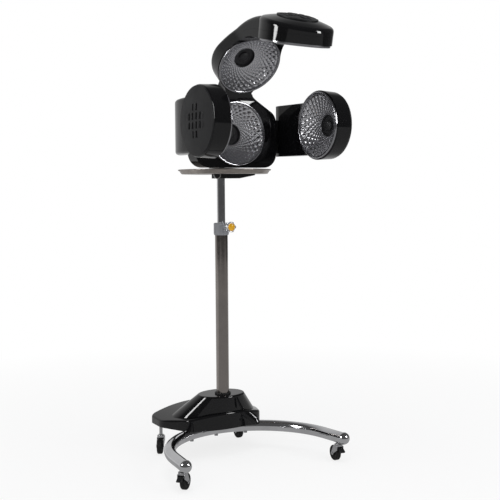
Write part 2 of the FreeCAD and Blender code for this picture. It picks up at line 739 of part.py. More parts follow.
# ---------------------------------------------------------------- head housing
def tilt_axes(tilt_deg):
    """Facing direction and the in-plane direction that leads up the spine, in (y, z)."""
    tilt = math.radians(tilt_deg)
    return (-math.cos(tilt), -math.sin(tilt)), (-math.sin(tilt), math.cos(tilt))


def plane_point(origin, tilt_deg, along, depth):
    facing, up = tilt_axes(tilt_deg)
    return (origin[0] + up[0] * along - facing[0] * depth,
            origin[1] + up[1] * along - facing[1] * depth)


def crossing(first, second):
    """Crossing of two face lines, each (origin, tilt)."""
    up_a = tilt_axes(first[1])[1]
    up_b = tilt_axes(second[1])[1]
    dy = second[0][0] - first[0][0]
    dz = second[0][1] - first[0][1]
    along = (dy * up_b[1] - dz * up_b[0]) / (up_a[0] * up_b[1] - up_a[1] * up_b[0])
    return (first[0][0] + up_a[0] * along, first[0][1] + up_a[1] * along)


LOWER_FACE = ((LOWER_Y, LOWER_Z), 0.0)
UPPER_FACE = ((UPPER_Y, UPPER_Z), UPPER_TILT)
TOP_FACE = ((TOP_Y, TOP_Z), TOP_TILT)
WAIST_CORNER = crossing(LOWER_FACE, UPPER_FACE)
NECK_CORNER = crossing(UPPER_FACE, TOP_FACE)
HOLLOW_ALONG = -math.sqrt((UPPER_R + WAIST_HIGH_R) ** 2 - (WAIST_HALF_W + WAIST_HIGH_R) ** 2)
WAIST_OVERLAP = (5.0, 2.0)  # both pieces' ends below the hollow, where the waist is still straight


def bend_points(corner, tilt_in, tilt_out, radii, depth):
    """Start, middle and end of the bend at a corner, at a depth behind the faces."""
    radius = bend_radius(radii, depth)
    leg = (radius - depth) * math.tan(math.radians(tilt_out - tilt_in) / 2)
    face_in, up_in = tilt_axes(tilt_in)
    reach = radius - depth
    centre = (corner[0] - up_in[0] * leg + face_in[0] * reach,
              corner[1] - up_in[1] * leg + face_in[1] * reach)
    points = []
    for share in (0.0, 0.5, 1.0):
        facing = tilt_axes(tilt_in + share * (tilt_out - tilt_in))[0]
        points.append((centre[0] - facing[0] * radius, centre[1] - facing[1] * radius))
    return points


def strip(depth_in, depth_out, half_width, low, high, first_bend, last_bend):
    """Part of the spine between two depths, as a prism along X."""
    bends = []
    if first_bend:
        bends.append((WAIST_CORNER, LOWER_FACE[1], UPPER_FACE[1], WAIST_BEND))
    if last_bend:
        bends.append((NECK_CORNER, UPPER_FACE[1], TOP_FACE[1], NECK_BEND))
    outline = [low(depth_in)]
    for corner, tilt_in, tilt_out, radii in bends:
        start, mid, end = bend_points(corner, tilt_in, tilt_out, radii, depth_in)
        outline += [start, ("arc", mid, end)]
    outline += [high(depth_in), high(depth_out)]
    for corner, tilt_in, tilt_out, radii in reversed(bends):
        start, mid, end = bend_points(corner, tilt_in, tilt_out, radii, depth_out)
        outline += [end, ("arc", mid, start)]
    outline.append(low(depth_out))
    return side_profile(outline, half_width)


def closed_outline(right, place):
    """Face of a symmetric outline from its right half, bottom to top; an arc is ('arc', mid, end)."""
    edges = []
    for side in (-1, 1):
        here = right[0]
        for item in right[1:]:
            if item[0] == "arc":
                mid, end = item[1], item[2]
                edges.append(Part.Arc(place(side * here[0], here[1]), place(side * mid[0], mid[1]),
                                      place(side * end[0], end[1])).toShape())
            else:
                end = item
                edges.append(Part.makeLine(place(side * here[0], here[1]), place(side * end[0], end[1])))
            here = end
    for point in (right[0], here):
        edges.append(Part.makeLine(place(-point[0], point[1]), place(point[0], point[1])))
    return Part.Face(Part.Wire(Part.__sortEdges__(edges)))


def rounded_corner(before, corner, after, radius):
    """Start and arc of a rounded corner between two straight runs of an outline."""
    ways = []
    for target in (before, after):
        run = math.hypot(target[0] - corner[0], target[1] - corner[1])
        ways.append(((target[0] - corner[0]) / run, (target[1] - corner[1]) / run))
    half = math.acos(ways[0][0] * ways[1][0] + ways[0][1] * ways[1][1]) / 2
    leg = radius / math.tan(half)
    reach = (radius / math.sin(half) - radius) / (2 * math.cos(half))
    start, end = [(corner[0] + way[0] * leg, corner[1] + way[1] * leg) for way in ways]
    mid = (corner[0] + (ways[0][0] + ways[1][0]) * reach, corner[1] + (ways[0][1] + ways[1][1]) * reach)
    return [start, ("arc", mid, end)]


def lower_plan(inset):
    """Front view of the lower pod: round bottom corners, sloping shoulders, hollow up to the waist."""
    half = LOWER_HALF_W - inset
    waist = WAIST_HALF_W - inset
    low = LOWER_BOTTOM_Z + inset
    slope = math.radians(SHOULDER_SLOPE)

    def shoulder(x):
        return (x, SHOULDER_Z + (LOWER_HALF_W - x) * math.tan(slope) - inset / math.cos(slope))

    corner, top = (half, low), (waist, UPPER_Z + DEEP)
    right = rounded_corner((0, low), corner, shoulder(half), LOWER_CORNER_R - inset)
    right += rounded_corner(corner, shoulder(half), shoulder(waist), SHOULDER_R - inset)
    right += rounded_corner(shoulder(half), shoulder(waist), top, WAIST_LOW_R + inset)
    return closed_outline(right + [top], lambda x, z: vec(x, -3 * DEEP, z))


def upper_plan(inset):
    """Plan of the upper pod in its own face plane: waist, hollow, disc, flared neck."""
    waist, disc, neck = WAIST_HALF_W - inset, UPPER_R - inset, NECK_HALF_W - inset
    hollow = WAIST_HIGH_R + inset
    centre = (waist + hollow, HOLLOW_ALONG)
    down = math.atan2(centre[1], centre[0])
    flare = math.radians(NECK_FLARE)
    turn = math.pi + down / 2
    knee = (neck, (disc - neck * math.cos(flare)) / math.sin(flare))
    side = (disc * math.cos(flare), disc * math.sin(flare))
    half_turn = (down + flare) / 2
    right = [
        (waist, HOLLOW_ALONG - WAIST_OVERLAP[0]), (waist, HOLLOW_ALONG),
        ("arc", (centre[0] + hollow * math.cos(turn), centre[1] + hollow * math.sin(turn)),
         (disc * math.cos(down), disc * math.sin(down))),
        ("arc", (disc * math.cos(half_turn), disc * math.sin(half_turn)), side),
    ]
    right += rounded_corner(side, knee, (neck, UPPER_R * 4), NECK_FLARE_R + inset)

    def place(x, along):
        y, z = plane_point((UPPER_Y, UPPER_Z), UPPER_TILT, along, -3 * DEEP)
        return vec(x, y, z)

    return closed_outline(right + [(neck, UPPER_R * 4)], place)


def round_back(solid, depth_out, radius):
    """Round the rear outline of the spine, but not its upper end, which lies inside the top pod."""
    bends = [bend_radius(bend, depth_out) for bend in (WAIST_BEND, NECK_BEND)]
    seen = {}
    for face in solid.Faces:
        surface = face.Surface
        low_u, high_u, low_v, high_v = face.ParameterRange
        normal = face.normalAt((low_u + high_u) / 2, (low_v + high_v) / 2)
        rear = False
        for tilt in (LOWER_FACE[1], UPPER_TILT, TOP_TILT):
            facing = tilt_axes(tilt)[0]
            rear = rear or -normal.y * facing[0] - normal.z * facing[1] > 0.9999
        if isinstance(surface, Part.Cylinder):
            rear = abs(surface.Axis.x) > 0.999 and min(abs(surface.Radius - bend) for bend in bends) < 1e-3
        if rear:
            for edge in face.Edges:
                seen.setdefault(edge.hashCode(), []).append(edge)
    rim = []
    for group in seen.values():
        box = group[0].BoundBox
        level = box.YLength < 0.01 and box.ZLength < 0.01
        if len(group) == 1 and (not level or box.ZMax < LOWER_Z):
            rim.append(group[0])
    return solid.makeFillet(radius, rim)


def bend_radius(bend, depth):
    return bend[0] + (bend[1] - bend[0]) * depth / SPINE_DEPTH


def lower_piece(depth_in, depth_out, inset):
    """Lower pod with the waist, up to just below the upper pod."""
    def low(depth):
        return plane_point(LOWER_FACE[0], LOWER_FACE[1], LOWER_BOTTOM_Z - LOWER_Z - DEEP, depth)

    def high(depth):
        return plane_point(UPPER_FACE[0], UPPER_FACE[1], HOLLOW_ALONG - WAIST_OVERLAP[1], depth)

    body = strip(depth_in, depth_out, LOWER_HALF_W + DEEP, low, high, True, False)
    return body.common(lower_plan(inset).extrude(vec(0, 6 * DEEP, 0)))


def upper_piece(depth_in, depth_out, inset):
    """Upper pod with the neck, up to inside the top pod."""
    def low(depth):
        return plane_point(UPPER_FACE[0], UPPER_FACE[1], HOLLOW_ALONG - WAIST_OVERLAP[0], depth)

    def high(depth):
        return plane_point(TOP_FACE[0], TOP_FACE[1], -40.0, depth)

    body = strip(depth_in, depth_out, UPPER_R + DEEP, low, high, False, True)
    facing = tilt_axes(UPPER_TILT)[0]
    return body.common(upper_plan(inset).extrude(vec(0, -facing[0], -facing[1]) * 6 * DEEP))


def top_frame():
    facing = tilt_axes(TOP_TILT)[0]
    return pod_frame((0, TOP_Y, TOP_Z), (0, facing[0], facing[1]))


def top_dome(inset):
    """Big ball whose back closes the top pod, low at the front and high at the rear."""
    chord = math.hypot(2 * POD_R, TOP_REAR_DEPTH - TOP_FRONT_DEPTH)
    radius = ((chord / 2) ** 2 + TOP_DOME_RISE ** 2) / (2 * TOP_DOME_RISE)
    lean = math.atan2(TOP_REAR_DEPTH - TOP_FRONT_DEPTH, 2 * POD_R)
    reach = radius - TOP_DOME_RISE
    facing, up = tilt_axes(TOP_TILT)
    mid_depth = (TOP_REAR_DEPTH + TOP_FRONT_DEPTH) / 2
    mid = plane_point((TOP_Y, TOP_Z), TOP_TILT, 0, mid_depth)
    centre = (mid[0] + facing[0] * math.cos(lean) * reach - up[0] * math.sin(lean) * reach,
              mid[1] + facing[1] * math.cos(lean) * reach - up[1] * math.sin(lean) * reach)
    return Part.makeSphere(radius - inset, vec(0, centre[0], centre[1]))


def top_disc(depth_in, depth_out, inset, edge_r):
    """Top pod between two depths; a deep end beyond the dome is closed by the dome."""
    radius = POD_R - inset
    drum = placed(revolve([(0, -depth_in), (radius, -depth_in), (radius, -depth_out), (0, -depth_out)]), top_frame())
    if depth_out <= TOP_FRONT_DEPTH - BACK_EDGE_R:
        return drum
    drum = drum.common(top_dome(inset))
    if edge_r > 0:
        edges = []
        for edge in drum.Edges:
            if edge.Length > 300:
                point = edge.valueAt(edge.FirstParameter)
                facing = tilt_axes(TOP_TILT)[0]
                depth = -((point.y - TOP_Y) * facing[0] + (point.z - TOP_Z) * facing[1])
                if depth > depth_in + 5:
                    edges.append(edge)
        drum = drum.makeFillet(edge_r, edges)
    return drum


def spine(depth_in, depth_out, inset, edge_r):
    """Lower pod, waist, upper pod and neck between two depths behind the faces."""
    out = min(depth_out, SPINE_DEPTH - inset)
    body = upper_piece(depth_in, out, inset).fuse(lower_piece(depth_in, out, inset)).removeSplitter()
    return round_back(body, out, edge_r) if edge_r > 0 else body


def housing(depth_in, depth_out, inset, edge_r):
    """The bent spine with its three pods between two depths behind the faces."""
    return spine(depth_in, depth_out, inset, edge_r).fuse(top_disc(depth_in, depth_out, inset, edge_r))


def face_frames():
    """Pod frames of the three lamps in the head."""
    frames = {}
    for name, (origin, tilt) in {"rear": LOWER_FACE, "upper": UPPER_FACE, "top": TOP_FACE}.items():
        facing = tilt_axes(tilt)[0]
        frames[name] = pod_frame((0, origin[0], origin[1]), (0, facing[0], facing[1]))
    return frames


HEAD_FRAMES = face_frames()


def screw_lines():
    """Screws from the back that hold the two shells: (point on the back, direction, depth there)."""
    lines = []
    for x, along in SHELL_SCREWS_LOWER:
        lines.append((x, LOWER_FACE, along, SPINE_DEPTH))
    for x, along in SHELL_SCREWS_WAIST:
        lines.append((x, UPPER_FACE, along, SPINE_DEPTH))
    found = []
    for x, face, along, depth in lines:
        y, z = plane_point(face[0], face[1], along, depth)
        found.append((vec(x, y, z), vec(0, *tilt_axes(face[1])[0]), depth))
    return found


def make_head_front_shell():
    shell = housing(0, SEAM_DEPTH - SEAT_GAP, 0, 0).removeSplitter()
    shell = shell.cut(housing(THIN_WALL, SEAM_DEPTH + 1, THIN_WALL, 0))
    recess_r = RING_R + SEAT_GAP
    for frame in HEAD_FRAMES.values():
        seat = tube(RING_R + 1.5, RING_R - 2.5, 6.0, vec(0, 0, -6.0))
        shell = shell.fuse(placed(seat, frame))
    collar = tube(recess_r + THIN_WALL, recess_r, RECESS_H + 6.0, vec(0, 0, -6.0))
    collar = placed(collar, HEAD_FRAMES["upper"]).common(spine(0, SPINE_DEPTH - BACK_EDGE_R, 0, 0))
    shell = shell.fuse(collar)
    shell = shell.cut(placed(cylinder(recess_r, RECESS_H, vec(0, 0, 0)), HEAD_FRAMES["upper"]))
    for back, forward, depth in screw_lines():
        length = depth - 2 * THIN_WALL - 0.05
        shell = shell.fuse(cylinder(SHELL_BOSS_R, length, back + forward * (THIN_WALL + 0.05), forward))
    for frame in HEAD_FRAMES.values():
        shell = shell.cut(placed(pod_cavity(8), frame))
    for back, forward, _ in screw_lines():
        shell = shell.cut(cylinder(SHELL_SCREW_R + RUN_FIT, SHELL_SCREW_LEN + 3, back, forward))
    return largest(shell.removeSplitter())


def make_head_rear_shell():
    shell = housing(SEAM_DEPTH, DEEP, 0, BACK_EDGE_R).removeSplitter()
    shell = shell.cut(housing(SEAM_DEPTH - 1, DEEP, THIN_WALL, BACK_EDGE_R - THIN_WALL))
    shell = shell.cut(placed(top_vent_opening(), HEAD_FRAMES["top"]))
    for back, forward, _ in screw_lines():
        shell = shell.cut(cylinder(SHELL_SCREW_R + RUN_FIT, 2 * THIN_WALL, back - forward, forward))
    back = LOWER_Y + SPINE_DEPTH
    shell = shell.cut(cylinder(GLAND_R - 2 + RUN_FIT, 20, vec(GLAND_X, back - 10, GLAND_Z), Y_AXIS))
    window = Part.makeBox(PANEL_W - PANEL_EDGE, 20, PANEL_H - PANEL_EDGE,
                          vec((PANEL_EDGE - PANEL_W) / 2, back - 10, PANEL_Z - (PANEL_H - PANEL_EDGE) / 2))
    return shell.cut(window)


def top_vent_opening():
    return cylinder(VENT_FIELD_R + 1, 60, vec(0, 0, -DEEP - 12))


def make_top_vent_cap():
    """Low domed cap with slots that covers the air outlet on the top pod."""
    drum = placed(cylinder(VENT_FIELD_R + 6, 60, vec(0, 0, -DEEP - 12)), HEAD_FRAMES["top"])
    cap = drum.common(top_dome(-0.2 - THIN_WALL)).cut(top_dome(-0.2))
    slots = placed(vent_slots(DEEP), HEAD_FRAMES["top"])
    return cap.cut(slots)


def make_shell_screws():
    screws = []
    for back, forward, _ in screw_lines():
        head = cylinder(2 * SHELL_SCREW_R, SHELL_HEAD_H, back - forward * SHELL_HEAD_H, forward)
        screws.append(head.fuse(cylinder(SHELL_SCREW_R, SHELL_SCREW_LEN, back, forward)))
    return Part.makeCompound(screws)


def make_head_mount():
    """Moulded socket behind the lower pod; the inner column stands in it."""
    back = LOWER_Y + SPINE_DEPTH
    low = LOWER_BOTTOM_Z
    height = MOUNT_TOP_Z - low
    outline = Part.Wire([
        Part.makeLine(vec(-MOUNT_HALF_W, back, low), vec(-MOUNT_HALF_W, 0, low)),
        Part.Arc(vec(-MOUNT_HALF_W, 0, low), vec(0, MOUNT_REAR_Y, low), vec(MOUNT_HALF_W, 0, low)).toShape(),
        Part.makeLine(vec(MOUNT_HALF_W, 0, low), vec(MOUNT_HALF_W, back, low)),
        Part.makeLine(vec(MOUNT_HALF_W, back, low), vec(-MOUNT_HALF_W, back, low)),
    ])
    body = Part.Face(outline).extrude(vec(0, 0, height))
    corners = [e for e in upright_edges(body, (0, MOUNT_HALF_W + 1)) if e.Vertexes[0].Point.y > back + 1]
    body = body.makeFillet(MOUNT_CORNER_R, corners)
    top_edges = [e for e in body.Edges if e.BoundBox.ZMin > MOUNT_TOP_Z - 1e-3 and e.BoundBox.YMax > back + 1]
    body = body.makeFillet(MOUNT_EDGE_R, top_edges)
    return body.cut(cylinder(INNER_R + RUN_FIT, MOUNT_SINK, vec(0, 0, low)))


def make_control_panel():
    back = LOWER_Y + SPINE_DEPTH
    panel = Part.makeBox(PANEL_W, PANEL_T, PANEL_H, vec(-PANEL_W / 2, back + 0.05, PANEL_Z - PANEL_H / 2))
    upright = [e for e in panel.Edges if e.BoundBox.YLength > PANEL_T - 0.1 and e.BoundBox.XLength < 1e-3]
    panel = panel.makeFillet(6.0, upright)
    panel = panel.cut(cylinder(4.0 + RUN_FIT, 20, vec(DIAL_X, back - 5, PANEL_Z), Y_AXIS))
    for x in SWITCH_X:
        width = SWITCH_W + 2 * SEAT_GAP
        hole = Part.makeBox(width, 20, SWITCH_H + 1, vec(x - width / 2, back - 5, PANEL_Z - SWITCH_H / 2 - 0.5))
        panel = panel.cut(hole)
    return panel


def make_timer_dial():
    """Round dial with a raised finger bar, on its spindle."""
    back = LOWER_Y + SPINE_DEPTH + 0.05 + PANEL_T + SEAT_GAP
    base = vec(DIAL_X, back, PANEL_Z)
    disc = revolve([(0, 0), (DIAL_R, 0), (DIAL_R - 1.0, 5.0), (DIAL_R - 3.0, 6.5), (0, 6.5)])
    disc = placed(disc, pod_frame((base.x, base.y, base.z), (0, 1, 0)))
    bar = Part.makeBox(6.0, DIAL_T, 2 * DIAL_R - 6, vec(base.x - 3.0, base.y, base.z - DIAL_R + 3))
    bar = bar.makeFillet(2.0, [e for e in bar.Edges if e.BoundBox.YMin > base.y + DIAL_T - 0.1])
    spindle = cylinder(4.0, 12.0, base, Y_AXIS * -1)
    return disc.fuse(bar).fuse(spindle).removeSplitter()


def make_switch(x):
    """Rocker that stands tilted about its middle."""
    back = LOWER_Y + SPINE_DEPTH + 0.05 + PANEL_T
    half_h = SWITCH_H / 2 - 0.6
    half_w = SWITCH_W / 2
    rock = math.tan(math.radians(SWITCH_TILT)) * half_h
    points = [(back - 3.0, PANEL_Z - half_h), (back + 3.0 - rock, PANEL_Z - half_h),
              (back + 2.2, PANEL_Z), (back + 3.0 + rock, PANEL_Z + half_h), (back - 3.0, PANEL_Z + half_h)]
    rocker = side_profile(points, half_w)
    rocker.translate(vec(x, 0, 0))
    return rocker


def make_cord_gland():
    """Empty cable gland in the lower back."""
    back = LOWER_Y + SPINE_DEPTH
    base = vec(GLAND_X, back, GLAND_Z)
    nut = Part.makePolygon([base + vec(GLAND_R * math.cos(math.radians(60 * i)), 0,
                                       GLAND_R * math.sin(math.radians(60 * i))) for i in range(7)])
    nut = Part.Face(nut).extrude(vec(0, 6.0, 0))
    sleeve = cylinder(GLAND_R - 2, GLAND_LEN + 8, base - Y_AXIS * 8, Y_AXIS)
    return nut.fuse(sleeve).cut(cylinder(4.0, 60, base - Y_AXIS * 20, Y_AXIS)).removeSplitter()


# ---------------------------------------------------------------- arm hinges
def hinge_knuckle(low, high, bore):
    return tube(HINGE_R, bore, high - low, vec(HINGE_X, HINGE_Y, low))


def make_hinge_lugs():
    """Upper and lower knuckle on each cheek, each on its own foot."""
    lugs = []
    for low in (HINGE_LOW_Z, HINGE_HIGH_Z - HINGE_LUG_H):
        knuckle = hinge_knuckle(low, low + HINGE_LUG_H, PIN_R + 0.02)
        foot = Part.makeBox(HINGE_X - LOWER_HALF_W, 2 * HINGE_R - 4, HINGE_LUG_H,
                            vec(LOWER_HALF_W, HINGE_Y - HINGE_R + 2, low))
        foot = foot.cut(cylinder(HINGE_R - 1, HINGE_LUG_H, vec(HINGE_X, HINGE_Y, low)))
        lugs.append(knuckle.fuse(foot).removeSplitter())
    return Part.makeCompound(lugs + [mirrored(lug) for lug in lugs])


def make_hinge_pins():
    low = HINGE_LOW_Z - 3.0
    pin = cylinder(PIN_R, HINGE_HIGH_Z + 3.0 - low, vec(HINGE_X, HINGE_Y, low))
    head = cylinder(PIN_HEAD_R, 3.0, vec(HINGE_X, HINGE_Y, low))
    cap = cylinder(PIN_HEAD_R, 3.0, vec(HINGE_X, HINGE_Y, HINGE_HIGH_Z))
    pin = pin.fuse(head).fuse(cap).removeSplitter()
    return Part.makeCompound([pin, mirrored(pin)])


# ---------------------------------------------------------------- side arms (drawn for the left arm)
ARM_FRAME = pod_frame((ARM_RING_X, ARM_Y, ARM_Z), (-1, 0, 0))


def arm_neck(inset):
    """Wide neck from the hinge to the pod, bowed outwards."""
    inner_x = ARM_RING_X + 1.5 + inset
    outer_x = ARM_RING_X + ARM_DEPTH - inset
    root_inner = vec(HINGE_X + HINGE_R - 1.7 + inset, HINGE_Y - HINGE_R - 3 - inset, 0)
    root_outer = vec(HINGE_X + HINGE_R + 18 - inset, HINGE_Y + 2 - inset, 0)
    root_back = vec(HINGE_X + HINGE_R + 2.3 + inset, HINGE_Y + 6 - inset, 0)
    end_y = ARM_Y + 40.0
    bow_y = ARM_Y + POD_R - 10.0
    low = NECK_LOW_Z + inset
    height = NECK_HIGH_Z - NECK_LOW_Z - 2 * inset

    def at(point):
        return vec(point.x, point.y, low)

    edges = [
        Part.makeLine(at(root_back), at(root_inner)),
        Part.makeLine(at(root_inner), vec(inner_x, bow_y, low)),
        Part.makeLine(vec(inner_x, bow_y, low), vec(inner_x, end_y, low)),
        Part.makeLine(vec(inner_x, end_y, low), vec(outer_x, end_y, low)),
        Part.makeLine(vec(outer_x, end_y, low), vec(outer_x, bow_y - 12, low)),
        Part.Arc(vec(outer_x, bow_y - 12, low), vec(outer_x - 11, bow_y + 62, low), at(root_outer)).toShape(),
        Part.makeLine(at(root_outer), at(root_back)),
    ]
    block = Part.Face(Part.Wire(edges)).extrude(vec(0, 0, height))
    outer_rim = []
    for edge in block.Edges:
        middle = edge.valueAt((edge.FirstParameter + edge.LastParameter) / 2)
        if edge.BoundBox.ZLength < 1e-3 and middle.x > inner_x + 15 and middle.y > end_y + 1:
            outer_rim.append(edge)
    return block.makeFillet(9.0 - inset / 2, outer_rim)


def arm_drum(inset):
    """Pod body of an arm with a drafted wall and a rounded back edge."""
    back_r = POD_R - ARM_DRAFT - inset
    deep = -ARM_DEPTH + inset
    edge = ARM_EDGE_R
    return placed(revolve([
        (0, 0 - inset), (POD_R - inset - 1.0, 0 - inset), (POD_R - inset, -1.0 - inset),
        (back_r, deep + edge), corner_arc(back_r, deep, edge, "down"), (0, deep),
    ]), ARM_FRAME)


def make_arm_shell():
    body = arm_drum(0).fuse(arm_neck(0))
    hollow = arm_drum(THIN_WALL).fuse(arm_neck(THIN_WALL))
    body = body.cut(hollow)
    body = body.cut(placed(pod_cavity(8), ARM_FRAME))
    seat_low = HINGE_LOW_Z + HINGE_LUG_H + SEAT_GAP
    seat_high = HINGE_HIGH_Z - HINGE_LUG_H - SEAT_GAP
    web = Part.makeBox(16.0, 2 * HINGE_R - 8, seat_high - seat_low,
                       vec(HINGE_X, HINGE_Y - HINGE_R + 1, seat_low))
    knuckle = cylinder(HINGE_R, seat_high - seat_low, vec(HINGE_X, HINGE_Y, seat_low))
    body = body.fuse(web).fuse(knuckle)
    return body.cut(cylinder(PIN_R + RUN_FIT, seat_high - seat_low, vec(HINGE_X, HINGE_Y, seat_low))).removeSplitter()


def make_arm_cap():
    """Satin cap over the back of the pod, with its field of slots."""
    outer = ARM_CAP_R
    back = ARM_DEPTH + 0.05
    cap = revolve([
        (0, -back), (outer, -back), (outer, -back - 2.0), corner_arc(outer, -back - 4.0, 2.0, "down"),
        ((outer * 0.55, -back - ARM_CAP_RISE * 0.84), (TIP_R, -back - ARM_CAP_RISE)), (0, -back - ARM_CAP_RISE),
    ])
    under = revolve([
        (0, -back + 1), (outer - 3.0, -back + 1), (outer - 3.0, -back - 1.5),
        ((outer * 0.55, -back - ARM_CAP_RISE * 0.84 + THIN_WALL), (TIP_R, -back - ARM_CAP_RISE + THIN_WALL)),
        (0, -back - ARM_CAP_RISE + THIN_WALL),
    ])
    return placed(cap.cut(under).cut(vent_slots(ARM_DEPTH * 2)), ARM_FRAME)


# ---------------------------------------------------------------- casters, about their stem at the origin
# the wheel trails along +x, the brake tab looks along -x
def caster_fork():
    """Pressed fork: crown, two cheeks and the riveted axle."""
    half = WHEEL_HUB_W / 2 + 0.2
    crown = cylinder(CROWN_R, CROWN_H, vec(0, 0, FORK_TOP_Z - CROWN_H))
    crown = crown.cut(cylinder(STEM_R + RUN_FIT, CROWN_H, vec(0, 0, FORK_TOP_Z - CROWN_H)))
    width = 2 * half + 2 * FORK_PLATE
    long = FORK_HALF_L
    roof = Part.makeBox(2 * long, width, FORK_PLATE, vec(-long, -width / 2, FORK_ROOF_Z))
    roof = roof.cut(cylinder(STEM_R + RUN_FIT, FORK_PLATE, vec(0, 0, FORK_ROOF_Z)))
    pieces = [crown, roof]
    top = FORK_ROOF_Z + FORK_PLATE
    nose = FORK_ROOF_Z - FORK_NOSE_DROP
    for side in (-1, 1):
        y = half if side > 0 else -half - FORK_PLATE
        eye_low = vec(CASTER_TRAIL, y, WHEEL_R - AXLE_EYE_R)
        eye_front = vec(CASTER_TRAIL + AXLE_EYE_R, y, WHEEL_R)
        eye_back = vec(CASTER_TRAIL - AXLE_EYE_R, y, WHEEL_R)
        outline = Part.Wire([
            Part.makeLine(vec(-long, y, top), vec(long, y, top)),
            Part.makeLine(vec(long, y, top), eye_front),
            Part.Arc(eye_front, eye_low, eye_back).toShape(),
            Part.makeLine(eye_back, vec(-long, y, nose)),
            Part.makeLine(vec(-long, y, nose), vec(-long, y, top)),
        ])
        pieces.append(Part.Face(outline).extrude(vec(0, FORK_PLATE, 0)))
    axle_at = vec(CASTER_TRAIL, -width / 2 - 1, WHEEL_R)
    pieces.append(cylinder(AXLE_R, width + 2, axle_at, Y_AXIS))
    pieces.append(cylinder(BRAKE_PIN_R, width, vec(BRAKE_PIN_X, -width / 2, BRAKE_PIN_Z), Y_AXIS))
    return fuse_all(pieces)


def caster_wheel():
    half = WHEEL_W / 2
    tyre = revolve([
        (AXLE_R + RUN_FIT, -WHEEL_HUB_W / 2), (WHEEL_HUB_R, -WHEEL_HUB_W / 2), (WHEEL_HUB_R + 1, -half + 1.5),
        (WHEEL_R - WHEEL_EDGE_R - 1, -half + 1.5), (WHEEL_R - WHEEL_EDGE_R, -half),
        ((WHEEL_R - 1.2, -half + 1.2), (WHEEL_R, -half + WHEEL_EDGE_R)), (WHEEL_R, half - WHEEL_EDGE_R),
        ((WHEEL_R - 1.2, half - 1.2), (WHEEL_R - WHEEL_EDGE_R, half)),
        (WHEEL_R - WHEEL_EDGE_R - 1, half - 1.5), (WHEEL_HUB_R + 1, half - 1.5),
        (WHEEL_HUB_R, WHEEL_HUB_W / 2), (AXLE_R + RUN_FIT, WHEEL_HUB_W / 2),
    ])
    return placed(tyre, pod_frame((CASTER_TRAIL, 0, WHEEL_R), (0, 1, 0)))


def caster_brake():
    """Foot tab on a cross pin at the leading side of the fork."""
    half = BRAKE_W / 2
    x, z = BRAKE_PIN_X, BRAKE_PIN_Z
    eye = cylinder(BRAKE_EYE_R, BRAKE_W, vec(x, -half, z), Y_AXIS)
    blade = Part.makePolygon([
        vec(x, -half, z + 2.5), vec(x - 8, -half, z + 3.5), vec(x - BRAKE_LEN, -half, z - 6),
        vec(x - BRAKE_LEN + 2, -half, z - 6 - BRAKE_T), vec(x, -half, z - 3.5), vec(x, -half, z + 2.5)])
    blade = Part.Face(blade).extrude(vec(0, BRAKE_W, 0))
    tab = eye.fuse(blade)
    return tab.cut(cylinder(BRAKE_PIN_R + RUN_FIT, BRAKE_W + 2, vec(x, -half - 1, z), Y_AXIS))


def caster_stems():
    """Stems pressed into the leg tube at the front and into the base plate at the rear."""
    stems = []
    low = FORK_ROOF_Z - SEAT_GAP - STEM_FOOT_H
    for name, (spot, _) in CASTERS.items():
        high = LEG_Z - 2 if name.startswith("front") else PLATE_TOP_Z + STEM_BOSS_H - 1
        stem = cylinder(STEM_R, high - low, vec(spot.x, spot.y, low))
        nut = cylinder(STEM_R + 3.5, 3.0, vec(spot.x, spot.y, FORK_TOP_Z + SEAT_GAP))
        foot = cylinder(STEM_R + 2.0, STEM_FOOT_H, vec(spot.x, spot.y, low))
        stems.append(stem.fuse(nut).fuse(foot).removeSplitter())
    return Part.makeCompound(stems)


def on_caster(shape, name):
    spot, trail_deg = CASTERS[name]
    copy = shape.copy()
    copy.rotate(vec(0, 0, 0), Z_AXIS, trail_deg)
    copy.translate(spot)
    return copy


# ---------------------------------------------------------------- save
TOP_REACH_Y = TOP_Y - POD_R - 8.0
COLUMN_Y = -(TOP_REACH_Y + COVER_REAR_Y) / 2


def save(name, shape):
    """Write one piece, moved so that the origin is under the middle of the object."""
    moved = shape.copy()
    moved.translate(vec(0, COLUMN_Y, 0))
    if not moved.isValid():
        print("NOT VALID:", name)
    moved.exportStep("parts/" + name + ".step")
    box = moved.BoundBox
    print("%-20s solids %d volume %9.0f  x %7.1f %7.1f  y %7.1f %7.1f  z %7.1f %7.1f" % (
        name, len(moved.Solids), moved.Volume, box.XMin, box.XMax, box.YMin, box.YMax, box.ZMin, box.ZMax))


save("leg_tube", make_leg_tube())
save("leg_end_balls", make_leg_end_balls())
save("leg_bolts", make_leg_bolts())
save("base_plate", make_base_plate())
save("base_cover", make_base_cover())
save("ballast_weight", make_ballast())
save("column_socket", make_column_socket())
save("outer_column", make_outer_column())
save("column_grommet", make_grommet())
save("clamp_collar", make_clamp_collar())
save("collar_bush", make_collar_bush())
save("inner_column", make_inner_column())
save("clamp_knob", make_clamp_knob())
save("knob_cap", make_knob_cap())
save("clamp_screw", make_clamp_screw())

save("tray_dish", make_tray_dish())
save("tray_bracket", make_tray_bracket())
save("tray_screw", make_tray_screw())
save("tray_hook", make_tray_hook())

save("head_front_shell", make_head_front_shell())
save("head_rear_shell", make_head_rear_shell())
save("head_mount", make_head_mount())
save("top_vent_cap", make_top_vent_cap())
save("shell_screws", make_shell_screws())
save("hinge_lugs", make_hinge_lugs())
save("hinge_pins", make_hinge_pins())
save("control_panel", make_control_panel())
save("timer_dial", make_timer_dial())
save("upper_lamp_switch", make_switch(SWITCH_X[0]))
save("side_lamp_switch", make_switch(SWITCH_X[1]))
save("cord_gland", make_cord_gland())

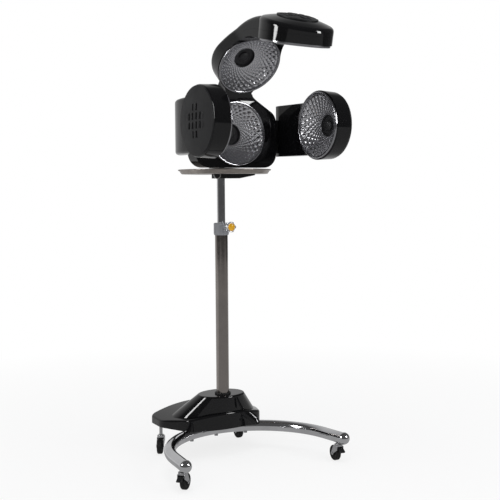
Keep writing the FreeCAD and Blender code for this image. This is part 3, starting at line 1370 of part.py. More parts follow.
for lamp_name, frame in HEAD_FRAMES.items():
    save(lamp_name + "_reflector", placed(reflector(), frame))
save("head_trim_rings", Part.makeCompound([placed(trim_ring(), f) for f in HEAD_FRAMES.values()]))
save("head_lamps", Part.makeCompound([placed(lamp(), f) for f in HEAD_FRAMES.values()]))

arm_pieces = {
    "arm_shell": make_arm_shell(),
    "arm_cap": make_arm_cap(),
    "reflector": placed(reflector(), ARM_FRAME),
    "trim_ring": placed(trim_ring(), ARM_FRAME),
    "lamp": placed(lamp(), ARM_FRAME),
}
for piece, shape in arm_pieces.items():
    save("left_" + piece, shape)
    save("right_" + piece, mirrored(shape))

save("caster_stems", caster_stems())
for caster_name in CASTERS:
    save(caster_name + "_fork", on_caster(caster_fork(), caster_name))
    save(caster_name + "_wheel", on_caster(caster_wheel(), caster_name))
    save(caster_name + "_brake", on_caster(caster_brake(), caster_name))
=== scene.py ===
"""Hair color processor: finishes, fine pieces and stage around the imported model."""
import json
import math

import bmesh
import bpy
import numpy as np
from bpy.props import FloatProperty, FloatVectorProperty, IntProperty, PointerProperty
from mathutils import Euler, Matrix, Vector


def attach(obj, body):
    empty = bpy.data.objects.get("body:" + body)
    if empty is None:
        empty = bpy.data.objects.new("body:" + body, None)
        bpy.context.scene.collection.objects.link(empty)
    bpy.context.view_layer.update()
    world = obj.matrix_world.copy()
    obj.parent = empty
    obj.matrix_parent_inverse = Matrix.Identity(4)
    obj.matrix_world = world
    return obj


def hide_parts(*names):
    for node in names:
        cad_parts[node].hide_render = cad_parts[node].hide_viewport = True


bl_info = {
    "name": "Hair Color Processor",
    "version": (1, 0, 0),
    "blender": (4, 5, 0),
    "location": "View3D > Sidebar > Processor",
    "description": "Finishes, fine pieces and stage of a floor-standing salon lamp processor",
    "category": "Object",
}

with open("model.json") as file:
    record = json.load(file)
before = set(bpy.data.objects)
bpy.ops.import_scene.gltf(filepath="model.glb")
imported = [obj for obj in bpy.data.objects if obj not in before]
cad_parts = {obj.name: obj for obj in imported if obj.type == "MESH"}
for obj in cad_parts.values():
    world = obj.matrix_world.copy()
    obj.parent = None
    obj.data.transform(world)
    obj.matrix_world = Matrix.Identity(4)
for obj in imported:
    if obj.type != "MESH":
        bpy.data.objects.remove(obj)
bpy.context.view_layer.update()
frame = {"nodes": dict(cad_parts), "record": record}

NOISE_ROUGHNESS = 0.55
CAST_FROM = -0.25           # where rays at the caps start, behind each pod
FLOOR_HALF = 8.0
FLOOR_WHITE_FROM = 0.7      # the floor's shadow fades to white between these distances
FLOOR_WHITE_TO = 2.4
FLOOR_SHADOW = 0.80         # share of white that the floor keeps near the object
STRIPS = {"left_strip": (-3.0, 0.06, 1.90), "right_strip": (1.78, -2.35, 1.90)}
STRIP_SIZE = (0.6, 1.3)
STRIP_AIM = (0.0, 0.0, 1.5)
BOWL_BOX = (-1.9, -1.6, 1.9)
BOWL_BOX_SIZE = (1.3, 0.5)
BOWL_BOX_AIM = (0.0, 0.0, 1.15)
FILLS = {"left_light": (-2.8, -1.6, 2.4), "right_light": (1.6, -2.6, 2.4)}
FILL_SIZE = (1.6, 1.6)
FILL_AIM = (0.0, 0.0, 0.9)
TOP_LAMP = (-0.4, -0.8, 3.4)
TOP_SIZE = (1.8, 1.8)
TOP_AIM = (0.0, 0.0, 0.8)
SENSOR = 36.0
CAMERA_SPOT = (-1.49305, -2.48895, 0.884)
CAMERA_DOWN = 3.691         # degrees below level
CAMERA_TURN = -31.0         # degrees from straight ahead
CAMERA_ROLL = -0.4

# Pod rims in the row frame: centre in metres and the direction the lamp looks.
PODS = {
    "rear": ((0.0, 0.073, 1.062), 0.0, 0.0),
    "upper": ((0.0, -0.008, 1.270), 40.0, 0.0),
    "top": ((0.0, -0.259, 1.304), 103.0, 0.0),
    "left": ((0.185, -0.110, 1.083), 0.0, -90.0),
    "right": ((-0.185, -0.110, 1.083), 0.0, 90.0),
}
POD_BODY = {"rear": "head", "upper": "head", "top": "head", "left": "left_arm", "right": "right_arm"}


# ---------------------------------------------------------------- settings
def colour(label, text, default):
    """Colour setting in linear light."""
    return FloatVectorProperty(
        name=label, description=text, default=default, subtype="COLOR", unit="NONE", min=0.0, max=1.0)


def length(label, text, default):
    """Length setting in metres."""
    return FloatProperty(name=label, description=text, default=default, unit="LENGTH", precision=5)


def power(label, text, default):
    """Power of a lamp in watts."""
    return FloatProperty(name=label, description=text, default=default, unit="POWER")


def plain(label, text, default):
    """Setting without a unit."""
    return FloatProperty(name=label, description=text, default=default, unit="NONE")


class FinishSettings(bpy.types.PropertyGroup):
    shell: colour("Shell", "Gloss black of the moulded shells", (0.004, 0.004, 0.0045))
    satin: colour("Satin", "Satin black of caps and mount", (0.012, 0.012, 0.013))
    chrome: colour("Chrome", "Plated leg tube and inner column", (0.80, 0.80, 0.82))
    column: colour("Column", "Smoky plate of the outer column", (0.36, 0.33, 0.31))
    tray: colour("Tray", "Spun metal of the tray", (0.42, 0.38, 0.35))
    bowl: colour("Bowl", "Bright sheet of the reflectors", (0.70, 0.70, 0.73))
    amber: colour("Amber", "Centre cap of the clamp knob", (0.80, 0.42, 0.03))


class BowlSettings(bpy.types.PropertyGroup):
    rim_r: length("Rim radius", "Outer radius of the flat rim", 0.1005)
    dish_r: length("Bowl radius", "Radius where the bowl starts", 0.096)
    hole_r: length("Hole radius", "Hole for the lamp", 0.034)
    depth: length("Depth", "Depth of the bowl", 0.036)
    dimple: length("Dimple height", "Height of the pressed dimples", 0.0034)
    dimple_power: plain("Dimple power", "Below 1 the dimples get broad tops", 0.8)
    dish_power: plain("Bowl power", "Power of the bowl's profile, 2 being a parabola", 1.8)
    sheet: length("Sheet", "Thickness of the sheet", 0.0008)
    lip: length("Lip", "Width of the turned lip between bowl and rim", 0.0006)
    spokes: IntProperty(name="Spokes", description="Dimples round the bowl", default=30, min=8)


class LouvreSettings(bpy.types.PropertyGroup):
    pitch_x: length("Pitch across", "Distance between columns of slots", 0.022)
    pitch_y: length("Pitch along", "Distance between rows of slots", 0.026)
    field_r: length("Field radius", "Radius of the field of slots", 0.054)
    louvre_w: length("Pillow width", "Width of a pillow between two slots", 0.012)
    louvre_l: length("Pillow length", "Length of a pillow", 0.021)
    rise: length("Rise", "Height of a pillow above the cap", 0.0012)
    sunk: length("Sunk", "Depth of a pillow's skirt in the cap", 0.0004)


class DialSettings(bpy.types.PropertyGroup):
    centre: FloatVectorProperty(
        name="Centre", description="Dial centre on the panel", default=(-0.045, 0.1391, 1.092), unit="LENGTH")
    figures: IntProperty(name="Figures", description="Number of figures", default=7, min=2)
    step: IntProperty(name="Step", description="Minutes from one figure to the next", default=10, min=1)
    first: plain("First", "Degrees from the top to the first figure", -150.0)
    sweep: plain("Sweep", "Degrees from the first figure to the last", 300.0)
    figure_r: length("Figure circle", "Radius of the circle of figures", 0.0203)
    figure_h: length("Figure height", "Size of a figure", 0.0036)
    relief: length("Relief", "Height of the raised print", 0.0001)


class StageSettings(bpy.types.PropertyGroup):
    key: power("Strips", "Power of the two highlight strips", 44.0)
    bowl: power("Bowl light", "Power of the lamp that the bowls mirror", 6.0)
    fill: power("Fill lights", "Power of the two soft lights", 26.0)
    top: power("Top light", "Power of the overhead light", 40.0)
    ambient: plain("Ambient", "Level of the room light", 0.45)
    dark: plain("Studio dark", "How bright the studio in front looks in gloss", 0.08)
    backdrop: plain("Backdrop", "How bright the backdrop looks in gloss", 0.5)
    floor_dark: plain("Floor dark", "How bright the floor in front looks in gloss", 0.35)
    floor_far: plain("Floor behind", "How bright the floor behind looks in gloss", 0.6)
    lens: plain("Lens", "Focal length on a 36 mm sensor", 66.96)


# ---------------------------------------------------------------- shader helpers
def blank(name):
    """New node material with a Principled shader wired to its output."""
    mat = bpy.data.materials.new(name)
    mat.use_nodes = True
    shader = mat.node_tree.nodes["Principled BSDF"]
    return mat, shader


def put(shader, **values):
    """Set sockets by name, with underscores for spaces."""
    for key, value in values.items():
        target = shader.inputs[key.replace("_", " ")]
        if hasattr(value, "__len__") and len(value) == 3:
            value = (*value, 1.0)
        target.default_value = value


def noise(mat, scale, detail=3.0):
    """Noise value in object space; scale is in cells per metre."""
    node = mat.node_tree.nodes.new("ShaderNodeTexNoise")
    node.inputs["Scale"].default_value = scale
    node.inputs["Detail"].default_value = detail
    node.inputs["Roughness"].default_value = NOISE_ROUGHNESS
    coords = mat.node_tree.nodes.new("ShaderNodeTexCoord")
    mat.node_tree.links.new(coords.outputs["Object"], node.inputs["Vector"])
    return node.outputs["Fac"]


def ranged(mat, value, low, high, new_low, new_high):
    """Stretch a value from one range to another."""
    node = mat.node_tree.nodes.new("ShaderNodeMapRange")
    for key, number in (("From Min", low), ("From Max", high), ("To Min", new_low), ("To Max", new_high)):
        node.inputs[key].default_value = number
    mat.node_tree.links.new(value, node.inputs["Value"])
    return node.outputs["Result"]


def blended(mat, value, first, second):
    """Colour that goes from first to second with a value."""
    node = mat.node_tree.nodes.new("ShaderNodeMix")
    node.data_type = "RGBA"
    node.inputs["A"].default_value = (*first, 1.0)
    node.inputs["B"].default_value = (*second, 1.0)
    mat.node_tree.links.new(value, node.inputs["Factor"])
    return node.outputs["Result"]


def bump(mat, shader, height, distance, strength):
    """Small relief in metres from a height value."""
    node = mat.node_tree.nodes.new("ShaderNodeBump")
    node.inputs["Strength"].default_value = strength
    node.inputs["Distance"].default_value = distance
    mat.node_tree.links.new(height, node.inputs["Height"])
    mat.node_tree.links.new(node.outputs["Normal"], shader.inputs["Normal"])


def wire(mat, value, shader, name):
    """Join a value to a socket of the shader."""
    mat.node_tree.links.new(value, shader.inputs[name])


# ---------------------------------------------------------------- finishes
def gloss_moulding(name, tint):
    """Polished injection moulding: faint flow waviness, haze that varies, fine dust."""
    mat, shader = blank(name)
    put(shader, Base_Color=tint, IOR=1.5, Specular_IOR_Level=0.45)
    wire(mat, ranged(mat, noise(mat, 9.0, 5.0), 0.35, 0.7, 0.02, 0.06), shader, "Roughness")
    bump(mat, shader, noise(mat, 22.0, 2.0), 0.0004, 0.25)
    return mat


def satin_moulding(name, tint, rough=0.42):
    """Spark-eroded grain of about a third of a millimetre on a satin moulding."""
    mat, shader = blank(name)
    put(shader, Base_Color=tint, Specular_IOR_Level=0.22)
    wire(mat, ranged(mat, noise(mat, 30.0, 4.0), 0.3, 0.7, rough - 0.06, rough + 0.08), shader, "Roughness")
    bump(mat, shader, noise(mat, 3200.0, 2.0), 0.00008, 0.5)
    return mat


def plated(name, tint, rough=0.05, wave=0.0002):
    """Chrome plate: bright, with slight waviness of the tube and dulled patches."""
    mat, shader = blank(name)
    put(shader, Metallic=1.0)
    patches = noise(mat, 14.0, 4.0)
    dark = tuple(c * 0.86 for c in tint)
    wire(mat, blended(mat, ranged(mat, patches, 0.35, 0.65, 0.0, 1.0), tint, dark), shader, "Base Color")
    wire(mat, ranged(mat, noise(mat, 60.0, 5.0), 0.3, 0.7, rough, rough + 0.07), shader, "Roughness")
    bump(mat, shader, noise(mat, 40.0, 2.0), wave, 0.3)
    return mat


def spun_metal(name, tint):
    """Spun sheet: fine rings around the column and worn spots."""
    mat, shader = blank(name)
    put(shader, Metallic=0.9)
    wear = noise(mat, 26.0, 5.0)
    worn = tuple(c * 0.7 for c in tint)
    wire(mat, blended(mat, ranged(mat, wear, 0.35, 0.7, 0.0, 1.0), tint, worn), shader, "Base Color")
    wire(mat, ranged(mat, wear, 0.3, 0.7, 0.28, 0.42), shader, "Roughness")
    bump(mat, shader, noise(mat, 700.0, 2.0), 0.00006, 0.5)
    return mat


def bright_sheet(name, tint):
    """Polished aluminium sheet with a trace of haze in the dimples."""
    mat, shader = blank(name)
    put(shader, Metallic=1.0, Base_Color=tint)
    wire(mat, ranged(mat, noise(mat, 120.0, 3.0), 0.3, 0.7, 0.04, 0.08), shader, "Roughness")
    return mat


def rubber(name, tint):
    """Moulded rubber, dull and slightly uneven."""
    mat, shader = blank(name)
    put(shader, Base_Color=tint, Specular_IOR_Level=0.3)
    wire(mat, ranged(mat, noise(mat, 90.0, 4.0), 0.3, 0.7, 0.55, 0.75), shader, "Roughness")
    bump(mat, shader, noise(mat, 900.0, 3.0), 0.0001, 0.4)
    return mat


def painted(name, tint, rough=0.38):
    """Powder coat with orange-peel relief and slightly dusty patches."""
    mat, shader = blank(name)
    dust = ranged(mat, noise(mat, 40.0, 5.0), 0.45, 0.75, 0.0, 0.35)
    wire(mat, blended(mat, dust, tint, tuple(min(1.0, c * 1.6 + 0.01) for c in tint)), shader, "Base Color")
    wire(mat, ranged(mat, noise(mat, 70.0, 3.0), 0.3, 0.7, rough - 0.05, rough + 0.1), shader, "Roughness")
    bump(mat, shader, noise(mat, 1100.0, 1.0), 0.00006, 0.4)
    return mat


def clear_moulding(name, tint):
    """Clear acrylic moulding, slightly scuffed."""
    mat, shader = blank(name)
    put(shader, Base_Color=tint, Transmission_Weight=0.85, IOR=1.49)
    wire(mat, ranged(mat, noise(mat, 90.0, 3.0), 0.3, 0.7, 0.08, 0.2), shader, "Roughness")
    return mat


def ceramic(name, tint):
    """Dark fired ceramic with small pores."""
    mat, shader = blank(name)
    put(shader, Base_Color=tint, Specular_IOR_Level=0.35)
    wire(mat, ranged(mat, noise(mat, 150.0, 4.0), 0.3, 0.7, 0.35, 0.6), shader, "Roughness")
    bump(mat, shader, noise(mat, 1500.0, 3.0), 0.00012, 0.5)
    return mat


def cast_iron(name, tint):
    """Raw casting with a coarse skin."""
    mat, shader = blank(name)
    put(shader, Base_Color=tint, Metallic=0.4)
    wire(mat, ranged(mat, noise(mat, 80.0, 5.0), 0.3, 0.7, 0.55, 0.8), shader, "Roughness")
    bump(mat, shader, noise(mat, 600.0, 4.0), 0.0004, 0.6)
    return mat


def finish_table(look):
    """One material for each slot of the record."""
    return {
        "black_gloss": gloss_moulding("black_gloss", look.shell),
        "black_satin": satin_moulding("black_satin", look.satin),
        "black_rubber": rubber("black_rubber", (0.014, 0.014, 0.014)),
        "chrome_tube": plated("chrome_tube", look.chrome),
        "column_chrome": plated("column_chrome", look.column, 0.08),
        "steel": plated("steel", (0.55, 0.55, 0.56), 0.2),
        "plate_steel": painted("plate_steel", (0.02, 0.02, 0.02)),
        "cast_weight": cast_iron("cast_weight", (0.05, 0.05, 0.05)),
        "grey_cast": painted("grey_cast", (0.23, 0.235, 0.25), 0.32),
        "white_plastic": satin_moulding("white_plastic", (0.6, 0.6, 0.58)),
        "knob_chrome": clear_moulding("knob_chrome", (0.92, 0.93, 0.95)),
        "knob_amber": gloss_moulding("knob_amber", look.amber),
        "tray_metal": spun_metal("tray_metal", look.tray),
        "panel_satin": satin_moulding("panel_satin", (0.02, 0.02, 0.021), 0.5),
        "dial_plastic": satin_moulding("dial_plastic", (0.03, 0.03, 0.03), 0.35),
        "switch_plastic": gloss_moulding("switch_plastic", (0.008, 0.008, 0.008)),
        "reflector": bright_sheet("reflector", look.bowl),
        "ring_silver": plated("ring_silver", (0.42, 0.42, 0.44), 0.14),
        "lamp_ceramic": ceramic("lamp_ceramic", (0.025, 0.025, 0.027)),
        "fork_steel": plated("fork_steel", (0.62, 0.62, 0.64), 0.22),
        "wheel_rubber": rubber("wheel_rubber", (0.012, 0.012, 0.012)),
    }


def finish(slot):
    """Finish made for a slot; the plain one that came with the frame has lost its name to it."""
    return bpy.data.materials[slot]


# ---------------------------------------------------------------- mesh helpers
def add_piece(name, mesh, material, body):
    """Object for a mesh, with its finish, on the body that carries it."""
    mesh.materials.append(finish(material))
    piece = bpy.data.objects.new(name, mesh)
    bpy.context.scene.collection.objects.link(piece)
    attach(piece, body)
    return piece


def surface(name, points, material, body):
    """Object from one or more grids of points (rows, columns, 3) whose last column joins the first."""
    rows, columns, _ = points.shape[-3:]
    index = np.arange(points.size // 3).reshape(-1, rows, columns)
    right = np.roll(index, -1, axis=2)
    quads = np.stack([index[:, :-1], right[:, :-1], right[:, 1:], index[:, 1:]], axis=-1).reshape(-1, 4)
    mesh = bpy.data.meshes.new(name)
    mesh.from_pydata(points.reshape(-1, 3).tolist(), [], quads.tolist())
    shape = bmesh.new()
    shape.from_mesh(mesh)
    bmesh.ops.remove_doubles(shape, verts=shape.verts, dist=1e-6)
    bmesh.ops.recalc_face_normals(shape, faces=shape.faces)
    shape.to_mesh(mesh)
    shape.free()
    mesh.polygons.foreach_set("use_smooth", [True] * len(mesh.polygons))
    return add_piece(name, mesh, material, body)


def pod_matrix(name):
    """Matrix from a pod's own frame (z towards the client) to the row frame."""
    centre, tilt, turn = PODS[name]
    lean = Euler((math.radians(90.0 + tilt), 0.0, 0.0)).to_matrix()
    spin = Euler((0.0, 0.0, math.radians(turn))).to_matrix()
    return Matrix.Translation(Vector(centre)) @ (spin @ lean).to_4x4()


def moved(points, matrix):
    """Points (rows, columns, 3) taken through a matrix."""
    table = np.array(matrix)
    return points @ table[:3, :3].T + table[:3, 3]


# ---------------------------------------------------------------- pieces
def bowl_points(look, turns=512, steps=84):
    """Closed sheet of revolution: front profile with dimples, then the plain back.

    Depth falls as depth * (1 - share ** bowl power), share being the radius between hole and bowl rim.
    Dimples are the dimple power of |cos((u + v) / 2) * cos((u - v) / 2)| with u = spokes * angle and
    v = spokes * ln(radius), so that each one is square and they run in crossing spirals. They grow with
    the radius and fade out over a twelfth of the way at the hole and at the rim.
    """
    fade = 12
    share = np.linspace(0.0, 1.0, steps)
    radius = look.hole_r + (look.dish_r - look.hole_r) * share
    height = -look.depth * (1.0 - share ** look.dish_power)
    radius = np.concatenate([radius, [look.dish_r + look.lip, look.rim_r]])
    height = np.concatenate([height, [0.0, 0.0]])
    angle = np.linspace(0.0, 2 * np.pi, turns, endpoint=False)
    spread = np.concatenate([np.clip(share * fade, 0, 1) * np.clip((1 - share) * fade, 0, 1), [0.0, 0.0]])
    u = look.spokes * angle[None, :]
    v = look.spokes * np.log(radius)[:, None]
    pattern = np.abs(np.cos((u + v) / 2) * np.cos((u - v) / 2)) ** look.dimple_power
    size = radius / look.dish_r
    lift = look.dimple * size[:, None] * spread[:, None] * pattern
    ring_r = np.broadcast_to(radius[:, None], pattern.shape)
    front = np.stack([ring_r * np.cos(angle), ring_r * np.sin(angle), height[:, None] + lift], axis=-1)
    back = front[::-1].copy()
    back[..., 2] = (height - look.sheet)[::-1][:, None]
    return np.concatenate([front, back, front[:1]], axis=0)


def cap_height(cap, matrix, look):
    """Terms of height = a + b x + c y + d (x x + y y), fitted to rays cast on the lands of a slotted cap."""
    spots = [(x, y) for x in (0.0, -look.pitch_x, look.pitch_x) for y in (-look.pitch_y, 0.0, look.pitch_y)]
    into = (matrix.to_3x3() @ Vector((0, 0, 1))).normalized()
    back = matrix.inverted()
    heights = []
    for x, y in spots:
        _, place, _, _ = cap.ray_cast(matrix @ Vector((x, y, CAST_FROM)), into)
        heights.append((back @ place).z)
    x, y = np.array(spots).T
    terms = np.stack([np.ones(len(spots)), x, y, x * x + y * y], axis=-1)
    return np.linalg.lstsq(terms, np.array(heights), rcond=None)[0]


def louvre_points(look, fit, rings=9, turns=40):
    """Low pillows between the slots, one grid each.

    The outline is a superellipse of the fourth degree; the height above the cap is
    rise * sqrt(1 - t ** 4), t going from 0 in the middle to 1 at the edge, and a skirt closes it below.
    """
    columns = np.arange(-2, 3) * look.pitch_x
    rows = (np.arange(-2, 2) + 0.5) * look.pitch_y
    centre_x, centre_y = (part.ravel() for part in np.meshgrid(columns, rows))
    inside = np.hypot(centre_x, np.abs(centre_y) + look.louvre_l / 2) < look.field_r
    centre_x, centre_y = centre_x[inside, None, None], centre_y[inside, None, None]
    share = np.linspace(0.0, 1.0, rings)
    grow = np.concatenate([share, [1.0, 0.0]])[None, :, None]
    rise = np.concatenate([np.sqrt(1.0 - share ** 4) * look.rise, [-look.sunk, -look.sunk]])[None, :, None]
    angle = np.linspace(0.0, 2 * np.pi, turns, endpoint=False)[None, None, :]
    x = centre_x + grow * look.louvre_w / 2 * np.sign(np.cos(angle)) * np.sqrt(np.abs(np.cos(angle)))
    y = centre_y + grow * look.louvre_l / 2 * np.sign(np.sin(angle)) * np.sqrt(np.abs(np.sin(angle)))
    z = fit[0] + fit[1] * x + fit[2] * y + fit[3] * (x * x + y * y) - rise
    return np.stack([x, y, z], axis=-1)


def number_mesh(text, size, relief, place):
    """Raised figure as a mesh, taken to its place once it is one."""
    curve = bpy.data.curves.new("figure", "FONT")
    curve.body = text
    curve.size = size
    curve.align_x = "CENTER"
    curve.align_y = "CENTER"
    curve.extrude = relief
    holder = bpy.data.objects.new("figure", curve)
    mesh = bpy.data.meshes.new_from_object(holder)
    bpy.data.objects.remove(holder)
    bpy.data.curves.remove(curve)
    mesh.transform(place)
    return mesh


# ---------------------------------------------------------------- operators
class PROCESSOR_OT_finishes(bpy.types.Operator):
    """Make the finishes and give each CAD node the one of its slot"""
    bl_idname = "processor.finishes"
    bl_label = "Finishes"

    def execute(self, context):
        for plain in bpy.data.materials:
            plain.name = "plain_" + plain.name
        finish_table(context.scene.processor_finish)
        for entry in frame["record"]["subparts"]:
            node = frame["nodes"][entry["node"]]
            node.data.materials.clear()
            node.data.materials.append(finish(entry["material_slot"]))
        return {"FINISHED"}


class PROCESSOR_OT_reflectors(bpy.types.Operator):
    """Dimpled reflector bowl in each of the five pods"""
    bl_idname = "processor.reflectors"
    bl_label = "Reflectors"

    def execute(self, context):
        points = bowl_points(context.scene.processor_bowl)
        for name, body in POD_BODY.items():
            piece = surface(name + "_bowl", moved(points, pod_matrix(name)), "reflector", body)
            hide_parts(name + "_reflector")
        return {"FINISHED"}


class PROCESSOR_OT_louvres(bpy.types.Operator):
    """Pillows between the slots of the three slotted caps"""
    bl_idname = "processor.louvres"
    bl_label = "Louvres"

    def execute(self, context):
        look = context.scene.processor_louvre
        for name, cap in (("left", "left_arm_cap"), ("right", "right_arm_cap"), ("top", "top_vent_cap")):
            matrix = pod_matrix(name)
            fit = cap_height(frame["nodes"][cap], matrix, look)
            surface(name + "_louvres", moved(louvre_points(look, fit), matrix), "black_satin", POD_BODY[name])
        return {"FINISHED"}


class PROCESSOR_OT_figures(bpy.types.Operator):
    """Figures round the timer dial"""
    bl_idname = "processor.figures"
    bl_label = "Dial figures"

    def execute(self, context):
        look = context.scene.processor_dial
        whole = bmesh.new()
        facing = Matrix(((-1, 0, 0), (0, 0, 1), (0, 1, 0))).to_4x4()
        for number in range(look.figures):
            turn = math.radians(look.first + look.sweep * number / (look.figures - 1))
            spot = Vector((-math.sin(turn) * look.figure_r, 0.0, math.cos(turn) * look.figure_r))
            place = Matrix.Translation(Vector(look.centre) + spot) @ facing
            whole.from_mesh(number_mesh(str(look.step * number), look.figure_h, look.relief, place))
        mesh = bpy.data.meshes.new("dial_figures")
        whole.to_mesh(mesh)
        whole.free()
        add_piece("dial_figures", mesh, "white_plastic", "head")
        return {"FINISHED"}


def any_ray(tree, names):
    """1 where a ray is one of the named kinds."""
    path = tree.nodes.new("ShaderNodeLightPath")
    total = path.outputs[names[0]]
    for name in names[1:]:
        step = tree.nodes.new("ShaderNodeMath")
        step.operation = "MAXIMUM"
        tree.links.new(total, step.inputs[0])
        tree.links.new(path.outputs[name], step.inputs[1])
        total = step.outputs[0]
    return total


def mixed(tree, share, first, second):
    """Shader that goes from first to second with a share."""
    mix = tree.nodes.new("ShaderNodeMixShader")
    tree.links.new(share, mix.inputs[0])
    tree.links.new(first, mix.inputs[1])
    tree.links.new(second, mix.inputs[2])
    return mix.outputs[0]


def along_axis(tree, coords, axis, low, high):
    """0 to 1 between two places along one axis of a coordinate, eased at both ends."""
    split = tree.nodes.new("ShaderNodeSeparateXYZ")
    tree.links.new(coords, split.inputs[0])
    step = tree.nodes.new("ShaderNodeMapRange")
    step.interpolation_type = "SMOOTHSTEP"
    step.inputs["From Min"].default_value = low
    step.inputs["From Max"].default_value = high
    tree.links.new(split.outputs[axis], step.inputs["Value"])
    return step.outputs["Result"]


def emitter(tree, strength=None):
    """White emission, of strength 1 where no value is joined to it."""
    glow = tree.nodes.new("ShaderNodeEmission")
    if strength is not None:
        tree.links.new(strength, glow.inputs["Strength"])
    return glow.outputs[0]


def mirrored_level(tree, share, near, far):
    """Emission for gloss alone, from near to far as a share goes from 0 to 1."""
    value = tree.nodes.new("ShaderNodeMapRange")
    value.inputs["To Min"].default_value = near
    value.inputs["To Max"].default_value = far
    tree.links.new(share, value.inputs["Value"])
    return emitter(tree, value.outputs["Result"])


def pale_floor(dark, far):
    """White floor that keeps the shadow near the object; gloss sees it white behind and dim in front."""
    mat, shader = blank("pale_floor")
    tree = mat.node_tree
    put(shader, Base_Color=(0.9, 0.9, 0.9), Roughness=0.7, Specular_IOR_Level=0.2)
    coords = tree.nodes.new("ShaderNodeTexCoord").outputs["Object"]
    reach = tree.nodes.new("ShaderNodeVectorMath")
    reach.operation = "LENGTH"
    tree.links.new(coords, reach.inputs[0])
    fade = tree.nodes.new("ShaderNodeMapRange")
    fade.inputs["From Min"].default_value = FLOOR_WHITE_FROM
    fade.inputs["From Max"].default_value = FLOOR_WHITE_TO
    fade.inputs["To Min"].default_value = FLOOR_SHADOW
    tree.links.new(reach.outputs["Value"], fade.inputs["Value"])
    share = tree.nodes.new("ShaderNodeMath")
    share.operation = "MULTIPLY"
    tree.links.new(any_ray(tree, ("Is Camera Ray", "Is Transmission Ray")), share.inputs[0])
    tree.links.new(fade.outputs[0], share.inputs[1])
    in_gloss = mirrored_level(tree, along_axis(tree, coords, "Y", 0.2, 1.0), dark, far)
    mirrored = mixed(tree, any_ray(tree, ("Is Glossy Ray",)), shader.outputs[0], in_gloss)
    whole = mixed(tree, share.outputs[0], mirrored, emitter(tree))
    tree.links.new(whole, tree.nodes["Material Output"].inputs["Surface"])
    return mat


def studio_room(ambient, dark, backdrop):
    """White to the eye; for gloss a white backdrop behind the object and a dim studio in front of it."""
    world = bpy.data.worlds.new("room")
    world.use_nodes = True
    tree = world.node_tree
    soft = tree.nodes["Background"]
    soft.inputs["Color"].default_value = (0.97, 0.98, 1.0, 1.0)
    soft.inputs["Strength"].default_value = ambient
    coords = tree.nodes.new("ShaderNodeTexCoord").outputs["Generated"]
    in_gloss = mirrored_level(tree, along_axis(tree, coords, "Y", 0.35, 0.8), dark, backdrop)
    mirrored = mixed(tree, any_ray(tree, ("Is Glossy Ray",)), soft.outputs[0], in_gloss)
    seen = any_ray(tree, ("Is Camera Ray", "Is Transmission Ray"))
    whole = mixed(tree, seen, mirrored, emitter(tree))
    tree.links.new(whole, tree.nodes["World Output"].inputs["Surface"])
    return world


def softbox(name, spot, aim, size, power, gloss_only=False):
    """Rectangular area light that looks at a point; gloss_only gives a highlight and no light."""
    data = bpy.data.lights.new(name, "AREA")
    data.shape = "RECTANGLE"
    data.size, data.size_y = size
    data.energy = power
    lamp = bpy.data.objects.new(name, data)
    lamp.location = spot
    lamp.rotation_euler = (Vector(aim) - Vector(spot)).to_track_quat("-Z", "Y").to_euler()
    lamp.visible_diffuse = gloss_only is False
    lamp.visible_glossy = gloss_only
    lamp.visible_camera = False
    bpy.context.scene.collection.objects.link(lamp)
    return lamp


def link_bowls(lamp, state):
    """Keep a lamp off the bowls (EXCLUDE) or on them alone (INCLUDE)."""
    group = bpy.data.collections.new(lamp.name + "_bowls")
    for name in PODS:
        group.objects.link(bpy.data.objects[name + "_bowl"])
    for entry in group.collection_objects:
        entry.light_linking.link_state = state
    lamp.light_linking.receiver_collection = group


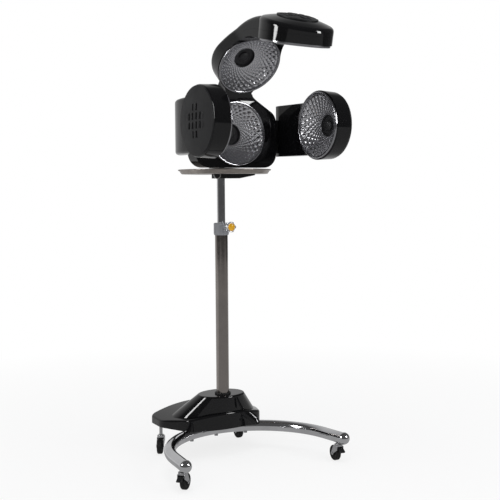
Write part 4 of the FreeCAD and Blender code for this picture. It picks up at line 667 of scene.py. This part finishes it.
class PROCESSOR_OT_stage(bpy.types.Operator):
    """Floor, room, softboxes and camera"""
    bl_idname = "processor.stage"
    bl_label = "Stage"

    def execute(self, context):
        look = context.scene.processor_stage
        corners = [(-FLOOR_HALF, -FLOOR_HALF, 0), (FLOOR_HALF, -FLOOR_HALF, 0),
                   (FLOOR_HALF, FLOOR_HALF, 0), (-FLOOR_HALF, FLOOR_HALF, 0)]
        floor_mesh = bpy.data.meshes.new("floor")
        floor_mesh.from_pydata(corners, [], [(0, 1, 2, 3)])
        floor = bpy.data.objects.new("floor", floor_mesh)
        context.scene.collection.objects.link(floor)
        floor_mesh.materials.append(pale_floor(look.floor_dark, look.floor_far))
        context.scene.world = studio_room(look.ambient, look.dark, look.backdrop)

        for name, spot in STRIPS.items():
            link_bowls(softbox(name, spot, STRIP_AIM, STRIP_SIZE, look.key, gloss_only=True), "EXCLUDE")
        front = softbox("front_box", BOWL_BOX, BOWL_BOX_AIM, BOWL_BOX_SIZE, look.bowl, gloss_only=True)
        link_bowls(front, "INCLUDE")
        for name, spot in FILLS.items():
            softbox(name, spot, FILL_AIM, FILL_SIZE, look.fill)
        softbox("top_light", TOP_LAMP, TOP_AIM, TOP_SIZE, look.top)

        data = bpy.data.cameras.new("camera")
        data.lens = look.lens
        data.sensor_width = SENSOR
        camera = bpy.data.objects.new("camera", data)
        camera.location = CAMERA_SPOT
        aim = Euler((math.radians(90.0 - CAMERA_DOWN), 0.0, math.radians(CAMERA_TURN))).to_matrix()
        camera.rotation_euler = (aim @ Matrix.Rotation(math.radians(CAMERA_ROLL), 3, "Z")).to_euler()
        context.scene.collection.objects.link(camera)
        context.scene.camera = camera
        context.scene.view_settings.view_transform = "Standard"
        return {"FINISHED"}


class PROCESSOR_PT_panel(bpy.types.Panel):
    """Buttons for each group of pieces"""
    bl_label = "Hair Color Processor"
    bl_idname = "PROCESSOR_PT_panel"
    bl_space_type = "VIEW_3D"
    bl_region_type = "UI"
    bl_category = "Processor"

    def draw(self, context):
        for step in STEPS:
            self.layout.operator("processor." + step)
        for group in SETTINGS:
            settings = getattr(context.scene, group)
            for key in settings.__annotations__:
                self.layout.prop(settings, key)


STEPS = ("finishes", "reflectors", "louvres", "figures", "stage")
SETTINGS = {
    "processor_finish": FinishSettings,
    "processor_bowl": BowlSettings,
    "processor_louvre": LouvreSettings,
    "processor_dial": DialSettings,
    "processor_stage": StageSettings,
}
CLASSES = (
    *SETTINGS.values(), PROCESSOR_OT_finishes, PROCESSOR_OT_reflectors, PROCESSOR_OT_louvres,
    PROCESSOR_OT_figures, PROCESSOR_OT_stage, PROCESSOR_PT_panel,
)


def register():
    """Register the classes and hang the settings on the scene."""
    for item in CLASSES:
        bpy.utils.register_class(item)
    for name, group in SETTINGS.items():
        setattr(bpy.types.Scene, name, PointerProperty(type=group))


def unregister():
    """Take the settings and the classes away again."""
    for name in SETTINGS:
        delattr(bpy.types.Scene, name)
    for item in reversed(CLASSES):
        bpy.utils.unregister_class(item)


def main():
    """Register the classes, then build everything."""
    register()
    for step in STEPS:
        getattr(bpy.ops.processor, step)()


if __name__ == "__main__":
    main()
